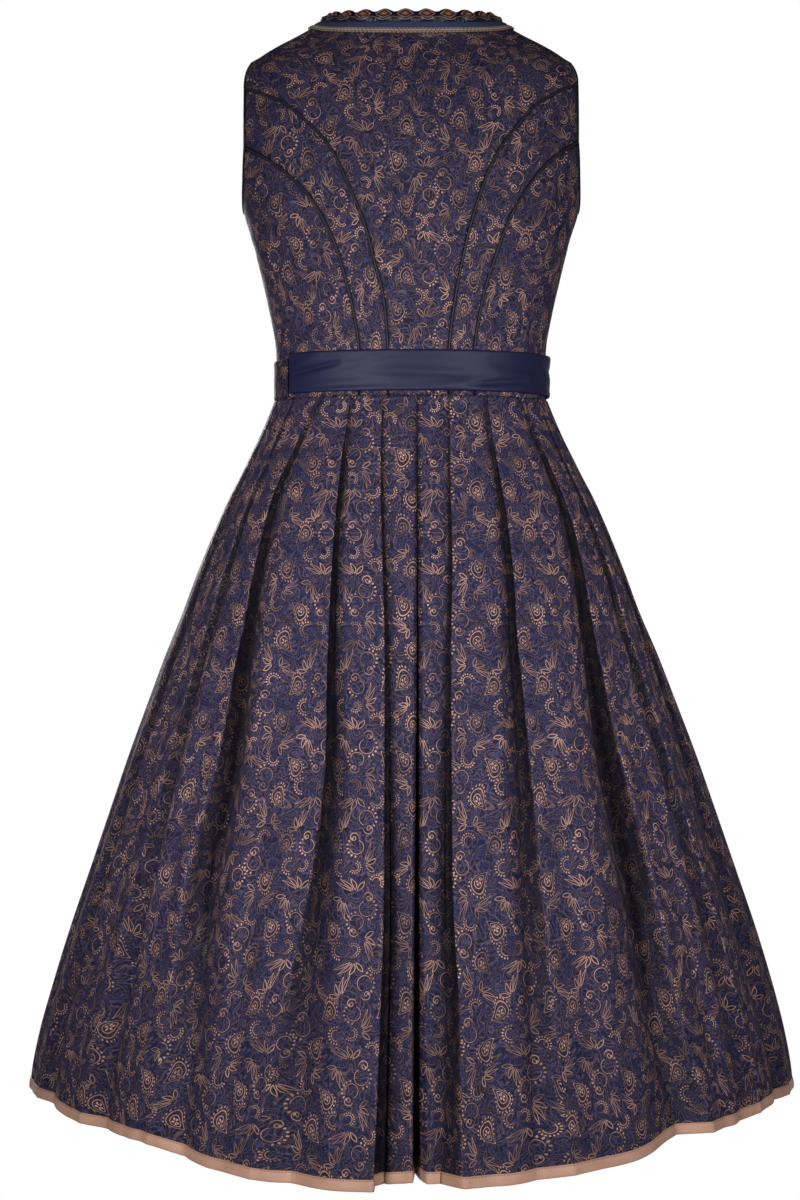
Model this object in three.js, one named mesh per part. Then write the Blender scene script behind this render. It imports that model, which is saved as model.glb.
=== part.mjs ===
// A sleeveless dirndl with its apron, filled out as if worn. Millimetres, +Z up, the back faces +Y.
// The origin lies midway between the two shoulder straps, where the wearer's shoulders hold the dress.
import * as THREE from 'three';

// Cloth and seams
const CLOTH = 1.6;
const SEAM_GAP = 0.3;
const LAID_ON = 0.35;
const LAID_ON_CURVE = 0.9;

// Bodice
const WAIST_Z = -354;
const UNDERARM_Z = -165;
const YOKE_LEFT_Z = -48;
const YOKE_RIGHT_Z = -43;
const ARMHOLE_X = 164;
const FRONT_EDGE_X = 9;
const ARMHOLE_SCOOP = 14;
const SEAM_ROWS = 13;
const PANEL_STEPS = 5;
// Where the side panels begin and end, as shares of the way from their front or back seam to the side seam
const BACK_SIDE = { from: 0.004, to: 0.998 };
const FRONT_SIDE = { from: 0.006, to: 0.998 };
const FRONT_SEAM_SHARE = 0.003;
const BUST = { x: 84, z: -198, wide: 46, tall: 52, out: 17 };

// Trims
const PIPING_RADIUS = 1.2;
const ARMHOLE_PIPING_RADIUS = 1.3;
const PIPING_FROM = 0.13;
const PIPING_TO = 0.985;
const PIPING_SIDES = 5;
// Ruching: its seat on the neck edge, the swell of its folds and its crest above the edge
const RUCHE = { pitch: 21.5, perFold: 4, seat: 1.4, seatThick: 1.1, middle: 4, lift: 2, swell: 2.4 };
const RUCHE_CREST = { height: 9, rise: 3, lift: 1.4, under: -0.2 };
const BUTTON = { radius: 6, height: 3.6, count: 7, top: -152, pitch: 23, sides: 10, lift: 0.6 };
const buttonProfile = [
  { r: 0, h: 0 }, { r: 0.55, h: 0 }, { r: 1, h: 0.3 }, { r: 1, h: 0.55 }, { r: 0.6, h: 0.92 }, { r: 0, h: 1 },
];

// Waistband, tie and bow
const BAND = { top: -315, bottom: -353, cloth: 1.4, fromTurn: 62, toTurn: 232 };
const TIE = { top: -310, bottom: -350, cloth: 1.4, fromTurn: 59, toTurn: -146 };
const BAND_STEP = 7;
const BAND_BELLY = 0.8;
const BOW = { turn: -151, z: -331, standOff: 11.3, narrow: 11 };
const KNOT = { half: 9, shoulder: 6, wide: 20, endWide: 14, thick: 12 };
const LOOP = { long: 60, wide: 34, steps: 12, foot: 10.3, open: 7, pinch: 3, sag: 14 };
const LOOP_ROUNDNESS = 0.35;
const LOOP_SPREAD = 0.6;
const TAIL = { long: 330, wide: 36, steps: 10, start: 9.3, turn: 3, spread: 6.5, lift: 9, clear: 20, over: 5 };
const TAIL_LIFTS_BY = 0.4;
const TAIL_WIDENS_BY = 0.33;

// Skirt and apron
const SKIRT_TOP_Z = WAIST_Z - SEAM_GAP;
const HEM_LEVEL = -1050;
const BINDING = { height: 10, cloth: 0.9 };
const WALL_SHARPEST = 0.42;
const BINDING_SHARPEST = 0.12;
const APRON = { clear: 1.0, cloth: 1.2, turn: 98, hemAbove: 24, waves: 13, wave: 10, columns: 52 };
const APRON_WAIST_WAVE = 1.5;
const APRON_BELOW_BAND = 0.4;

const colours = {
  jacquard: { color: 0x33304a, roughness: 0.55, metalness: 0.05 },
  satin: { color: 0x1f2345, roughness: 0.35, metalness: 0.0 },
  copperSatin: { color: 0xbe9178, roughness: 0.4, metalness: 0.0 },
  blueBand: { color: 0x32466e, roughness: 0.7, metalness: 0.0 },
  braid: { color: 0x967d6e, roughness: 0.8, metalness: 0.0 },
  apronCloth: { color: 0x252a4c, roughness: 0.6, metalness: 0.0 },
  button: { color: 0x9a6a4c, roughness: 0.4, metalness: 0.8 },
};

// Level sections of the bodice: half width, depth behind and before the middle, roundness
const bodySections = [
  { z: -356, half: 134, back: 92, front: 90, power: 2.15 },
  { z: -330, half: 134, back: 92, front: 90, power: 2.15 },
  { z: -302, half: 135, back: 94, front: 93, power: 2.15 },
  { z: -272, half: 140, back: 100, front: 100, power: 2.2 },
  { z: -232, half: 149, back: 107, front: 108, power: 2.25 },
  { z: -192, half: 159, back: 112, front: 114, power: 2.3 },
  { z: -165, half: 167, back: 114, front: 116, power: 2.3 },
  { z: -132, half: 170, back: 114, front: 114, power: 2.3 },
  { z: -107, half: 172, back: 112, front: 110, power: 2.3 },
  { z: -80, half: 173, back: 108, front: 104, power: 2.3 },
  { z: -50, half: 172, back: 99, front: 94, power: 2.3 },
  { z: -20, half: 168, back: 86, front: 80, power: 2.3 },
];

// Curved back seams, from the waist up to the armhole
const backSeams = {
  innerLeft: [
    { x: 22.6, z: -354 }, { x: 22.8, z: -308 }, { x: 27, z: -261 }, { x: 34.5, z: -231 },
    { x: 44, z: -195 }, { x: 55, z: -166 }, { x: 66, z: -141 }, { x: 77, z: -119 },
    { x: 91, z: -101 }, { x: 110, z: -82 }, { x: 131, z: -66 }, { x: ARMHOLE_X, z: YOKE_LEFT_Z },
  ],
  innerRight: [
    { x: -36.3, z: -354 }, { x: -36.5, z: -308 }, { x: -42, z: -262 }, { x: -47.6, z: -232 },
    { x: -55, z: -199 }, { x: -64.7, z: -166 }, { x: -74.4, z: -139 }, { x: -86, z: -117 },
    { x: -101, z: -96 }, { x: -118, z: -75 }, { x: -138, z: -60 }, { x: -ARMHOLE_X, z: YOKE_RIGHT_Z },
  ],
  outerLeft: [
    { x: 51, z: -354 }, { x: 51, z: -308 }, { x: 55.4, z: -276 }, { x: 62, z: -248 },
    { x: 71.6, z: -215 }, { x: 82, z: -191 }, { x: 95.7, z: -167 }, { x: 113, z: -147 },
    { x: 134, z: -128 }, { x: 149.5, z: -117 }, { x: ARMHOLE_X, z: -107 },
  ],
  outerRight: [
    { x: -61.5, z: -354 }, { x: -61.5, z: -307 }, { x: -65.3, z: -279 }, { x: -71, z: -252 },
    { x: -80.5, z: -222 }, { x: -91, z: -193 }, { x: -104.6, z: -166 }, { x: -127.4, z: -133 },
    { x: -145.8, z: -116 }, { x: -ARMHOLE_X, z: -101 },
  ],
};

// Rows across one front centre panel: its inner edge (front edge, then neckline) and its outer
// edge (bust seam, then armhole)
const frontRows = [
  { inX: 0, inZ: -354, outX: 52, outZ: -354 },
  { inX: 0, inZ: -320, outX: 54, outZ: -320 },
  { inX: 0, inZ: -285, outX: 61, outZ: -285 },
  { inX: 0, inZ: -250, outX: 71, outZ: -251 },
  { inX: 0, inZ: -220, outX: 80, outZ: -222 },
  { inX: 0, inZ: -190, outX: 87, outZ: -194 },
  { inX: 0, inZ: -160, outX: 97, outZ: -164 },
  { inX: 0, inZ: -127, outX: 113, outZ: -134 },
  { inX: 42, inZ: -123, outX: 131, outZ: -111 },
  { inX: 71, inZ: -107, outX: 146, outZ: -95 },
  { inX: 85, inZ: -80, outX: 151, outZ: -72 },
  { inX: 90, inZ: -50, outX: 155, outZ: -48 },
];
const NECKLINE_ROW = 7;
const ARMHOLE_ROW = 10;
const BUST_SEAM_TOP_ROW = 9;
const STRAP_ROWS = 4;
const STRAP_CREST_PULL = 34;

// The back yoke fans from the neck edge out to the armhole and down to the level of the inner seams.
// side runs from 0 at the middle of the back to 1 along the shoulder ridge.
const yokeColumns = [
  { side: 0, neckX: 0, neckY: 66, neckZ: 14, steep: 75, footX: 0 },
  { side: 0.2, neckX: 30, neckY: 63, neckZ: 14.5, steep: 72, footX: 56 },
  { side: 0.4, neckX: 55, neckY: 54, neckZ: 16, steep: 64, footX: 112 },
  { side: 0.6, neckX: 73, neckY: 38, neckZ: 19, steep: 50, footX: ARMHOLE_X },
  { side: 0.8, neckX: 84, neckY: 18, neckZ: 23, steep: 37, footX: 164, footY: 21, footZ: -28 },
  { side: 1, neckX: 88, neckY: 0, neckZ: 26, steep: 29, footX: 160, footY: -2, footZ: -14 },
];
const YOKE_DOWNS = [0, 0.07, 0.16, 0.28, 0.5, 0.75, 1];
const YOKE_SIDES = [0, 0.1, 0.2, 0.3, 0.4, 0.5, 0.6, 0.7, 0.8, 0.9, 1];
const YOKE_CORNER_SIDE = 0.6;
const YOKE_BLEND = 0.36;

// Strips round the neck: reach is the distance from the cloth's edge, on to the bodice
const neckStrips = [
  { node: 'neck_blue_band', colour: 'blueBand', from: 3.2, to: 9.2, thick: 1.0 },
  { node: 'neck_chain_braid', colour: 'braid', from: 9.8, to: 16.2, thick: 1.9 },
];

// Half width of the skirt at each level; depth and roundness follow its growth
const skirtSections = [
  { z: -354, half: 136.5 }, { z: -362, half: 139.5 }, { z: -372, half: 143.5 }, { z: -392, half: 152 },
  { z: -412, half: 161.5 }, { z: -432, half: 171 }, { z: -452, half: 181 }, { z: -492, half: 198.5 },
  { z: -532, half: 214.5 }, { z: -572, half: 229 }, { z: -612, half: 245 }, { z: -652, half: 259.5 },
  { z: -712, half: 281 }, { z: -772, half: 301 }, { z: -832, half: 321 }, { z: -892, half: 341 },
  { z: -952, half: 359 }, { z: -992, half: 370 }, { z: -1032, half: 378 }, { z: -1060, half: 381 },
];
const SKIRT_DEPTH = { waistBack: 95, hemBack: 358, waistFront: 94, hemFront: 338 };
const SKIRT_POWER = { waist: 2.15, hem: 1.65 };

// Height of the hem round the skirt; it hangs a little lower behind and before than at the sides
const hemHeights = [
  { turn: -180, z: -1050 }, { turn: -135, z: -1046 }, { turn: -90, z: -1036 }, { turn: -70, z: -1034 },
  { turn: -55, z: -1040 }, { turn: -44, z: -1043 }, { turn: -36, z: -1053 }, { turn: -28, z: -1057 },
  { turn: -14, z: -1061 }, { turn: 0, z: -1061 }, { turn: 12, z: -1064 }, { turn: 24, z: -1062 },
  { turn: 36, z: -1054 }, { turn: 45, z: -1043 }, { turn: 60, z: -1040 }, { turn: 70, z: -1034 },
  { turn: 90, z: -1036 }, { turn: 135, z: -1046 }, { turn: 180, z: -1050 },
];

// Turn of each fold, in degrees from the middle of the back, at these levels down the skirt
const FOLD_LEVELS = [-354, -400, -450, -520, -600, -700, -800, -920, -1050];
// depth: how far the under layer lies behind the fold's edge at waist, hip, thigh and hem
// drop: how far along the edge that step is spread at waist, hip, thigh and hem
// The folds of the front lie alike on both sides.
const FOLD_STAGES = [-354, -560, -800, -1050];
const backFolds = [
  { name: 'centre_back', turns: [-2, -1.8, -1.7, -1.6, -1.6, -1.6, -1.6, -1.7, -1.9],
    depth: [4, 13, 38, 58], drop: [1.5, 2, 3, 3] },
  { name: 'back_left_1', turns: [10.5, 9.8, 8.8, 7.4, 6.4, 6.1, 6.0, 6.7, 7.8],
    depth: [3.5, 10, 30, 40], drop: [1.5, 2, 2.5, 3] },
  { name: 'back_left_2', turns: [23.8, 23.4, 22.2, 20.9, 19.6, 18.2, 20.0, 23.3, 26.1],
    depth: [3.5, 14, 27, 17], drop: [1.5, 2, 8, 30] },
  { name: 'back_left_3', turns: [40.1, 44.3, 46.6, 45.2, 43.4, 42.2, 43.8, 42.5, 42.6],
    depth: [3.5, 15, 38, 24], drop: [1.5, 2, 10, 34] },
  { name: 'side_left_1', turns: [58, 59, 59, 58, 57.5, 57, 57, 57, 57],
    depth: [3.5, 8, 14, 18], drop: [1.5, 6, 20, 34] },
  { name: 'side_left_2', turns: [76, 75, 74.5, 74, 73.5, 73, 73, 73, 73],
    depth: [3.5, 7, 11, 16], drop: [1.5, 6, 20, 34] },
  { name: 'back_right_1', turns: [-14.2, -12.7, -11.3, -10.4, -9.1, -8.5, -8.3, -9.3, -9.6],
    depth: [3.5, 10, 30, 33], drop: [1.5, 2, 2.5, 14] },
  { name: 'back_right_2', turns: [-31, -29.2, -28.2, -26.9, -25.1, -24.7, -24.6, -24.7, -25.9],
    depth: [3.5, 13, 24, 16], drop: [1.5, 2, 9, 30] },
  { name: 'back_right_3', turns: [-51.5, -53, -53.7, -51.3, -47.7, -46.1, -47.3, -46.7, -49.9],
    depth: [3.5, 15, 40, 30], drop: [1.5, 2, 6, 26] },
  { name: 'side_right_1', turns: [-66, -66.5, -66.5, -65, -63, -62, -62, -62, -62],
    depth: [3.5, 8, 13, 17], drop: [1.5, 6, 18, 32] },
  { name: 'side_right_2', turns: [-80, -79.5, -79, -78, -77, -76.5, -76, -76, -76],
    depth: [3.5, 7, 11, 16], drop: [1.5, 6, 18, 32] },
];
const frontFold = { name: 'centre_front', turns: [180, 180, 180, 180, 180, 180, 180, 180, 180],
  depth: [4, 12, 26, 34], drop: [1.5, 2, 6, 10] };
const frontLeftFolds = [
  { name: 'front_left_5', turns: [104, 105, 105.5, 106, 106.5, 107, 107, 107, 107],
    depth: [3.5, 7, 11, 16], drop: [1.5, 6, 18, 30] },
  { name: 'front_left_4', turns: [121, 121.5, 122, 122.5, 123, 123, 123, 123, 123],
    depth: [3.5, 8, 14, 18], drop: [1.5, 6, 18, 30] },
  { name: 'front_left_3', turns: [138, 137.5, 137, 137, 137, 137, 137, 137, 137],
    depth: [3.5, 10, 18, 20], drop: [1.5, 5, 16, 30] },
  { name: 'front_left_2', turns: [153, 153, 153, 153, 153, 153, 153, 153, 152],
    depth: [3.5, 10, 18, 20], drop: [1.5, 5, 16, 30] },
  { name: 'front_left_1', turns: [167, 168, 169, 170, 170, 170, 170, 170, 169],
    depth: [3.5, 10, 20, 24], drop: [1.5, 4, 10, 20] },
];
// Share of a panel over which its under end sinks, at the same stages, and how sharply
const SINK_SHARE = [0.2, 0.3, 0.5, 0.6];
const SINK_POWER = 1.4;
const BOX_FLOOR = 0.72;
const SKIRT_ROWS = [-354.3, -372, -400, -440, -490, -550, -630, -720, -820, -930, -1050];

const Z_AXIS = new THREE.Vector3(0, 0, 1);
const v3 = (x, y, z) => new THREE.Vector3(x, y, z);
const mix = (a, b, share) => a + (b - a) * share;
const clamp = (value, low, high) => Math.min(high, Math.max(low, value));
const radians = (degrees) => degrees * Math.PI / 180;
const range = (count) => Array.from({ length: count }, (_, i) => i);

// A smooth curve through (at, value) pairs that never overshoots them
function smoothCurve(ats, values) {
  const rising = ats[ats.length - 1] > ats[0];
  const xs = rising ? ats : [...ats].reverse();
  const ys = rising ? values : [...values].reverse();
  const last = xs.length - 1;
  const gap = (i) => xs[i + 1] - xs[i];
  const slope = (i) => (ys[i + 1] - ys[i]) / gap(i);
  const tangents = xs.map((_, i) => {
    if (i === 0) return slope(0);
    if (i === last) return slope(last - 1);
    if (slope(i - 1) * slope(i) <= 0) return 0;
    const before = 2 * gap(i) + gap(i - 1);
    const after = gap(i) + 2 * gap(i - 1);
    return (before + after) / (before / slope(i - 1) + after / slope(i));
  });
  return (at) => {
    const x = clamp(at, xs[0], xs[last]);
    let i = 0;
    while (i < last - 1 && x > xs[i + 1]) i += 1;
    const h = gap(i);
    const s = (x - xs[i]) / h;
    const startWeight = (1 + 2 * s) * (1 - s) ** 2;
    const endWeight = s * s * (3 - 2 * s);
    return startWeight * ys[i] + endWeight * ys[i + 1]
      + h * s * (1 - s) ** 2 * tangents[i] - h * s * s * (1 - s) * tangents[i + 1];
  };
}

function column(rows, at, key) {
  return smoothCurve(rows.map((row) => row[at]), rows.map((row) => row[key]));
}

const bodyHalf = column(bodySections, 'z', 'half');
const bodyBack = column(bodySections, 'z', 'back');
const bodyFront = column(bodySections, 'z', 'front');
const bodyPower = column(bodySections, 'z', 'power');
const signedPower = (value, power) => Math.sign(value) * Math.abs(value) ** power;

// A point of the bodice's outer face: turn in degrees from the middle of the back towards the
// wearer's left, round a rounded section, with a soft cup on each side of the front
function bodyPoint(turn, z) {
  const share = 2 / bodyPower(z);
  const across = signedPower(Math.sin(radians(turn)), share);
  const along = signedPower(Math.cos(radians(turn)), share);
  const x = bodyHalf(z) * across;
  const y = (along >= 0 ? bodyBack(z) : bodyFront(z)) * along;
  const fromCup = Math.hypot((Math.abs(x) - BUST.x) / BUST.wide, (z - BUST.z) / BUST.tall);
  const cup = Math.exp(-(fromCup ** 2));
  return v3(x, y - BUST.out * cup * clamp(-along, 0, 1), z);
}

function bodyTurn(x, z, onFront) {
  const share = clamp(Math.abs(x) / bodyHalf(z), 0, 1);
  const turn = Math.asin(share ** (bodyPower(z) / 2)) * 180 / Math.PI;
  const fromMiddle = onFront ? 180 - turn : turn;
  return x < 0 ? -fromMiddle : fromMiddle;
}

// The outward normal of a surface given by two directions along it
function surfaceNormal(surface, a, b, stepA, stepB, outwardFrom) {
  const alongA = surface(a + stepA, b).sub(surface(a - stepA, b));
  const alongB = surface(a, b + stepB).sub(surface(a, b - stepB));
  const normal = alongA.cross(alongB).normalize();
  const outward = surface(a, b).sub(outwardFrom);
  return normal.dot(outward) < 0 ? normal.negate() : normal;
}

// Steps along a surface between which its normal is taken
const TURN_STEP = 0.5;
const Z_STEP = 0.5;
const SHARE_STEP = 0.01;
const INSIDE = new THREE.Vector3(0, 0, -90);

function bodySpot(turn, z) {
  const middle = v3(0, 0, z);
  return { point: bodyPoint(turn, z), normal: surfaceNormal(bodyPoint, turn, z, TURN_STEP, Z_STEP, middle) };
}

const spotAt = (x, z, onFront) => bodySpot(bodyTurn(x, z, onFront), z);
const movedOut = (spot, distance) => spot.point.clone().addScaledVector(spot.normal, distance);

function meshOf(name, colour, positions, triangles) {
  const geometry = new THREE.BufferGeometry();
  const numbers = positions.flatMap((p) => [p.x, p.y, p.z]);
  geometry.setAttribute('position', new THREE.Float32BufferAttribute(numbers, 3));
  geometry.setIndex(triangles.flat());
  geometry.computeVertexNormals();
  const material = new THREE.MeshStandardMaterial({ ...colours[colour], side: THREE.DoubleSide });
  const mesh = new THREE.Mesh(geometry, material);
  mesh.name = name;
  return mesh;
}

// A quad starting at a corner from which its splitting diagonal is the shorter one
function splitShort(quad, points) {
  const [a, b, c, d] = quad.map((i) => points[i]);
  return a.distanceTo(c) <= b.distanceTo(d) ? quad : [...quad.slice(1), quad[0]];
}

// A wall of cloth: the outer face runs through the spots, the inner face lies one thickness
// inside, and the open edges are closed. Quads turn anticlockwise seen from outside.
function wallOf(name, colour, spots, rawQuads, thickness) {
  const outer = spots.map((spot) => spot.point);
  const quads = rawQuads.map((quad) => splitShort(quad, outer));
  const inner = spots.map((spot) => movedOut(spot, -thickness));
  const count = spots.length;
  const triangles = [];
  const edgesOf = (quad) => quad.map((from, i) => `${from}>${quad[(i + 1) % quad.length]}`);
  const edges = new Set(quads.flatMap(edgesOf));
  quads.forEach((quad) => {
    for (let i = 1; i < quad.length - 1; i += 1) {
      triangles.push([quad[0], quad[i], quad[i + 1]]);
      triangles.push([quad[0] + count, quad[i + 1] + count, quad[i] + count]);
    }
    quad.forEach((from, i) => {
      const to = quad[(i + 1) % quad.length];
      if (edges.has(`${to}>${from}`)) return;
      triangles.push([from, from + count, to + count], [from, to + count, to]);
    });
  });
  return meshOf(name, colour, [...outer, ...inner], triangles);
}

// Quads over a grid of spots, turned so that they face the way the first spot's normal points
function gridQuads(rows) {
  const width = rows[0].length;
  const here = rows[0][0];
  const next = rows[0][1].point.clone().sub(here.point);
  const above = rows[1][0].point.clone().sub(here.point);
  const facesOut = next.cross(above).dot(here.normal) > 0;
  const quads = [];
  for (let r = 0; r < rows.length - 1; r += 1) {
    for (let c = 0; c < width - 1; c += 1) {
      const quad = [r * width + c, r * width + c + 1, (r + 1) * width + c + 1, (r + 1) * width + c];
      quads.push(facesOut ? quad : quad.reverse());
    }
  }
  return quads;
}

function panelOf(name, colour, rows, thickness = CLOTH) {
  return wallOf(name, colour, rows.flat(), gridQuads(rows), thickness);
}

// A closed body through rings of points, capped at both ends unless the rings close on themselves
function sweepOf(name, colour, rings, closed = false) {
  const sides = rings[0].length;
  const triangles = [];
  const joins = closed ? rings.length : rings.length - 1;
  for (let r = 0; r < joins; r += 1) {
    const here = r * sides;
    const there = ((r + 1) % rings.length) * sides;
    for (let i = 0; i < sides; i += 1) {
      const j = (i + 1) % sides;
      triangles.push([here + i, here + j, there + j], [here + i, there + j, there + i]);
    }
  }
  if (!closed) {
    const end = (rings.length - 1) * sides;
    for (let i = 1; i < sides - 1; i += 1) {
      triangles.push([0, i + 1, i], [end, end + i, end + i + 1]);
    }
  }
  const points = rings.flat();
  return meshOf(name, colour, points, turnedOut(points, triangles));
}

// The triangles of a closed body, all turned round if they enclose a negative volume
function turnedOut(points, triangles) {
  const sixfold = ([a, b, c]) => points[a].dot(points[b].clone().cross(points[c]));
  const volume = triangles.reduce((sum, triangle) => sum + sixfold(triangle), 0);
  return volume < 0 ? triangles.map(([a, b, c]) => [a, c, b]) : triangles;
}

// A cord laid on a panel: its middle runs through the spots, one radius and a seam gap above them
function cordOn(name, colour, spots, radius, sides, closed = false) {
  const middles = spots.map((spot) => movedOut(spot, radius + LAID_ON));
  const last = middles.length - 1;
  const rings = middles.map((middle, i) => {
    const before = middles[closed ? (i + last) % (last + 1) : Math.max(0, i - 1)];
    const after = middles[closed ? (i + 1) % (last + 1) : Math.min(last, i + 1)];
    const along = after.clone().sub(before).normalize();
    const up = spots[i].normal.clone().addScaledVector(along, -spots[i].normal.dot(along)).normalize();
    const side = along.clone().cross(up);
    return range(sides).map((k) => {
      const angle = (k + 0.5) / sides * 2 * Math.PI;
      const outwards = up.clone().multiplyScalar(radius * Math.cos(angle));
      return middle.clone().add(outwards).addScaledVector(side, radius * Math.sin(angle));
    });
  });
  return sweepOf(name, colour, rings, closed);
}

// Back seams as curves in (x, z), walked by their own length
function seamWalk(points) {
  const curve = new THREE.SplineCurve(points.map((p) => new THREE.Vector2(p.x, p.z)));
  curve.arcLengthDivisions = 400;
  return (share) => curve.getPointAt(share);
}
const seams = Object.fromEntries(Object.entries(backSeams).map(([name, points]) => [name, seamWalk(points)]));
const seamShares = range(SEAM_ROWS).map((i) => i / (SEAM_ROWS - 1));

// One point of the back yoke: side from -1 to 1 across, down from 0 at the neck edge to 1
const yokeKeys = ['neckX', 'neckY', 'neckZ', 'steep', 'footX'];
const yoke = Object.fromEntries(yokeKeys.map((key) => [key, column(yokeColumns, 'side', key)]));
const ridge = yokeColumns[yokeColumns.length - 1];
const shoulderFoot = yokeColumns[yokeColumns.length - 2];

function yokeLineZ(x) {
  return mix(YOKE_RIGHT_Z, YOKE_LEFT_Z, (x + ARMHOLE_X) / (2 * ARMHOLE_X));
}

function yokeFoot(side) {
  const share = Math.abs(side);
  const hand = side < 0 ? -1 : 1;
  const x = hand * yoke.footX(Math.min(share, YOKE_CORNER_SIDE));
  const corner = spotAt(x, yokeLineZ(x), false);
  if (share <= YOKE_CORNER_SIDE) return corner.point;
  const bulgeX = 2 * shoulderFoot.footX - (ARMHOLE_X + ridge.footX) / 2;
  const armhole = new THREE.QuadraticBezierCurve3(
    corner.point,
    v3(hand * bulgeX, shoulderFoot.footY, shoulderFoot.footZ),
    v3(hand * ridge.footX, ridge.footY, ridge.footZ),
  );
  return armhole.getPoint((share - YOKE_CORNER_SIDE) / (1 - YOKE_CORNER_SIDE));
}

function yokePoint(side, down) {
  const share = Math.abs(side);
  const hand = side < 0 ? -1 : 1;
  const neck = v3(hand * yoke.neckX(share), yoke.neckY(share), yoke.neckZ(share));
  const foot = yokeFoot(side);
  const reach = foot.clone().sub(neck).length() * YOKE_BLEND;
  const steep = radians(yoke.steep(share));
  const flat = v3(foot.x - neck.x, Math.max(0, foot.y - neck.y), 0).normalize();
  const leaving = flat.multiplyScalar(Math.cos(steep)).addScaledVector(Z_AXIS, -Math.sin(steep));
  const footTurn = bodyTurn(foot.x, foot.z, false);
  const rise = bodyPoint(footTurn, foot.z + 1).sub(bodyPoint(footTurn, foot.z));
  const ridgeward = clamp((share - YOKE_CORNER_SIDE) / (1 - YOKE_CORNER_SIDE), 0, 1);
  const straight = neck.clone().sub(foot).normalize();
  const arriving = rise.normalize().lerp(straight, ridgeward).normalize();
  const curve = new THREE.CubicBezierCurve3(
    neck,
    neck.clone().addScaledVector(share === 1 ? straight.clone().negate() : leaving, reach),
    foot.clone().addScaledVector(arriving, reach),
    foot,
  );
  return curve.getPoint(down);
}

function ridgeNormal(hand) {
  return v3(hand * (ridge.neckZ - ridge.footZ), 0, ridge.footX - ridge.neckX).normalize();
}

function yokeSpot(side, down) {
  const hand = side < 0 ? -1 : 1;
  if (Math.abs(side) === 1) {
    const point = yokePoint(side, down).add(v3(0, SEAM_GAP / 2, 0));
    return { point, normal: ridgeNormal(hand) };
  }
  const normal = surfaceNormal(yokePoint, side, down, SHARE_STEP, SHARE_STEP, INSIDE);
  return { point: yokePoint(side, down), normal };
}

// The back centre panel: the yoke fan, and below it rows between the two inner seams
function backCentre() {
  const sides = [...YOKE_SIDES.slice(1).reverse().map((side) => -side), ...YOKE_SIDES];
  const firstFoot = sides.indexOf(-YOKE_CORNER_SIDE);
  const lastFoot = sides.indexOf(YOKE_CORNER_SIDE);
  const fan = YOKE_DOWNS.slice(0, -1).map((down) => sides.map((side) => yokeSpot(side, down)));
  const feet = sides.map((side, c) => {
    const spot = yokeSpot(side, 1);
    const inLine = c >= firstFoot && c <= lastFoot;
    return inLine ? spotAt(spot.point.x, spot.point.z, false) : spot;
  });
  fan.push(feet);
  const spots = fan.flat();
  const quads = gridQuads(fan);
  const across = sides.slice(firstFoot, lastFoot + 1).map((_, i, all) => i / (all.length - 1));
  let previous = across.map((_, i) => (YOKE_DOWNS.length - 1) * sides.length + firstFoot + i);
  [...seamShares].reverse().slice(1).forEach((share) => {
    const left = seams.innerLeft(share);
    const right = seams.innerRight(share);
    const row = across.map((part) => spots.push(spotAt(
      mix(right.x + SEAM_GAP, left.x - SEAM_GAP, part), mix(right.y, left.y, part), false)) - 1);
    for (let c = 0; c < row.length - 1; c += 1) {
      quads.push([row[c], row[c + 1], previous[c + 1], previous[c]]);
    }
    previous = row;
  });
  return wallOf('bodice_back_centre', 'jacquard', spots, facingOut(spots, quads), CLOTH);
}

// Each quad turned so that it faces the way its first spot's normal points
function facingOut(spots, quads) {
  return quads.map((quad) => {
    const [a, b, c] = quad.map((i) => spots[i].point);
    const facing = b.clone().sub(a).cross(c.clone().sub(a)).dot(spots[quad[0]].normal) > 0;
    return facing ? quad : [...quad].reverse();
  });
}

// A row of spots between two places in (x, z) on the back
function backRow(from, to, steps) {
  const width = Math.hypot(to.x - from.x, to.y - from.y);
  return range(steps + 1).map((i) => {
    const share = mix(SEAM_GAP / width, 1 - SEAM_GAP / width, i / steps);
    return spotAt(mix(from.x, to.x, share), mix(from.y, to.y, share), false);
  });
}

const STRIP_STEPS = 2;

function innerStrip(name, inner, outer) {
  const rows = seamShares.map((share) => backRow(outer(share), inner(share), STRIP_STEPS));
  return panelOf(name, 'jacquard', rows);
}

// How far the armhole dips below the line from its seam to the side seam
const scoopAt = (part, share) => ARMHOLE_SCOOP * Math.sin(Math.PI * part) * share ** 4;

// Rows of the outer back panel, from the outer seam round to the side seam
function outerBackRow(seam, hand, share) {
  const from = seam(share);
  const startTurn = bodyTurn(from.x, from.y, false);
  const endTurn = hand * 90;
  const sideZ = mix(WAIST_Z, UNDERARM_Z, share);
  return range(PANEL_STEPS + 1).map((i) => {
    const part = mix(BACK_SIDE.from, BACK_SIDE.to, i / PANEL_STEPS);
    return bodySpot(mix(startTurn, endTurn, part), mix(from.y, sideZ, part) - scoopAt(part, share));
  });
}

function outerBack(name, seam, hand) {
  return panelOf(name, 'jacquard', seamShares.map((share) => outerBackRow(seam, hand, share)));
}

// One spot of a front centre panel: out from 0 at the inner edge to 1 at the outer edge, rows up
const frontEdge = Object.fromEntries(['inX', 'inZ', 'outX', 'outZ'].map((key) => [
  key, smoothCurve(frontRows.map((_, i) => i), frontRows.map((row) => row[key]))]));
const STRAP_BASE = frontRows.length - 1;
const STRAP_TOP = STRAP_BASE + STRAP_ROWS;

function frontPlace(hand, out, row) {
  const closing = FRONT_EDGE_X * clamp(1 - (row - NECKLINE_ROW), 0, 1);
  const inX = hand > 0 ? Math.max(frontEdge.inX(row), closing) : frontEdge.inX(row);
  const start = hand < 0 ? -closing : inX;
  const from = hand < 0 ? start + frontEdge.inX(row) : inX;
  const x = hand * mix(from, frontEdge.outX(row), out);
  return { x, z: mix(frontEdge.inZ(row), frontEdge.outZ(row), out) };
}

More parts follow.
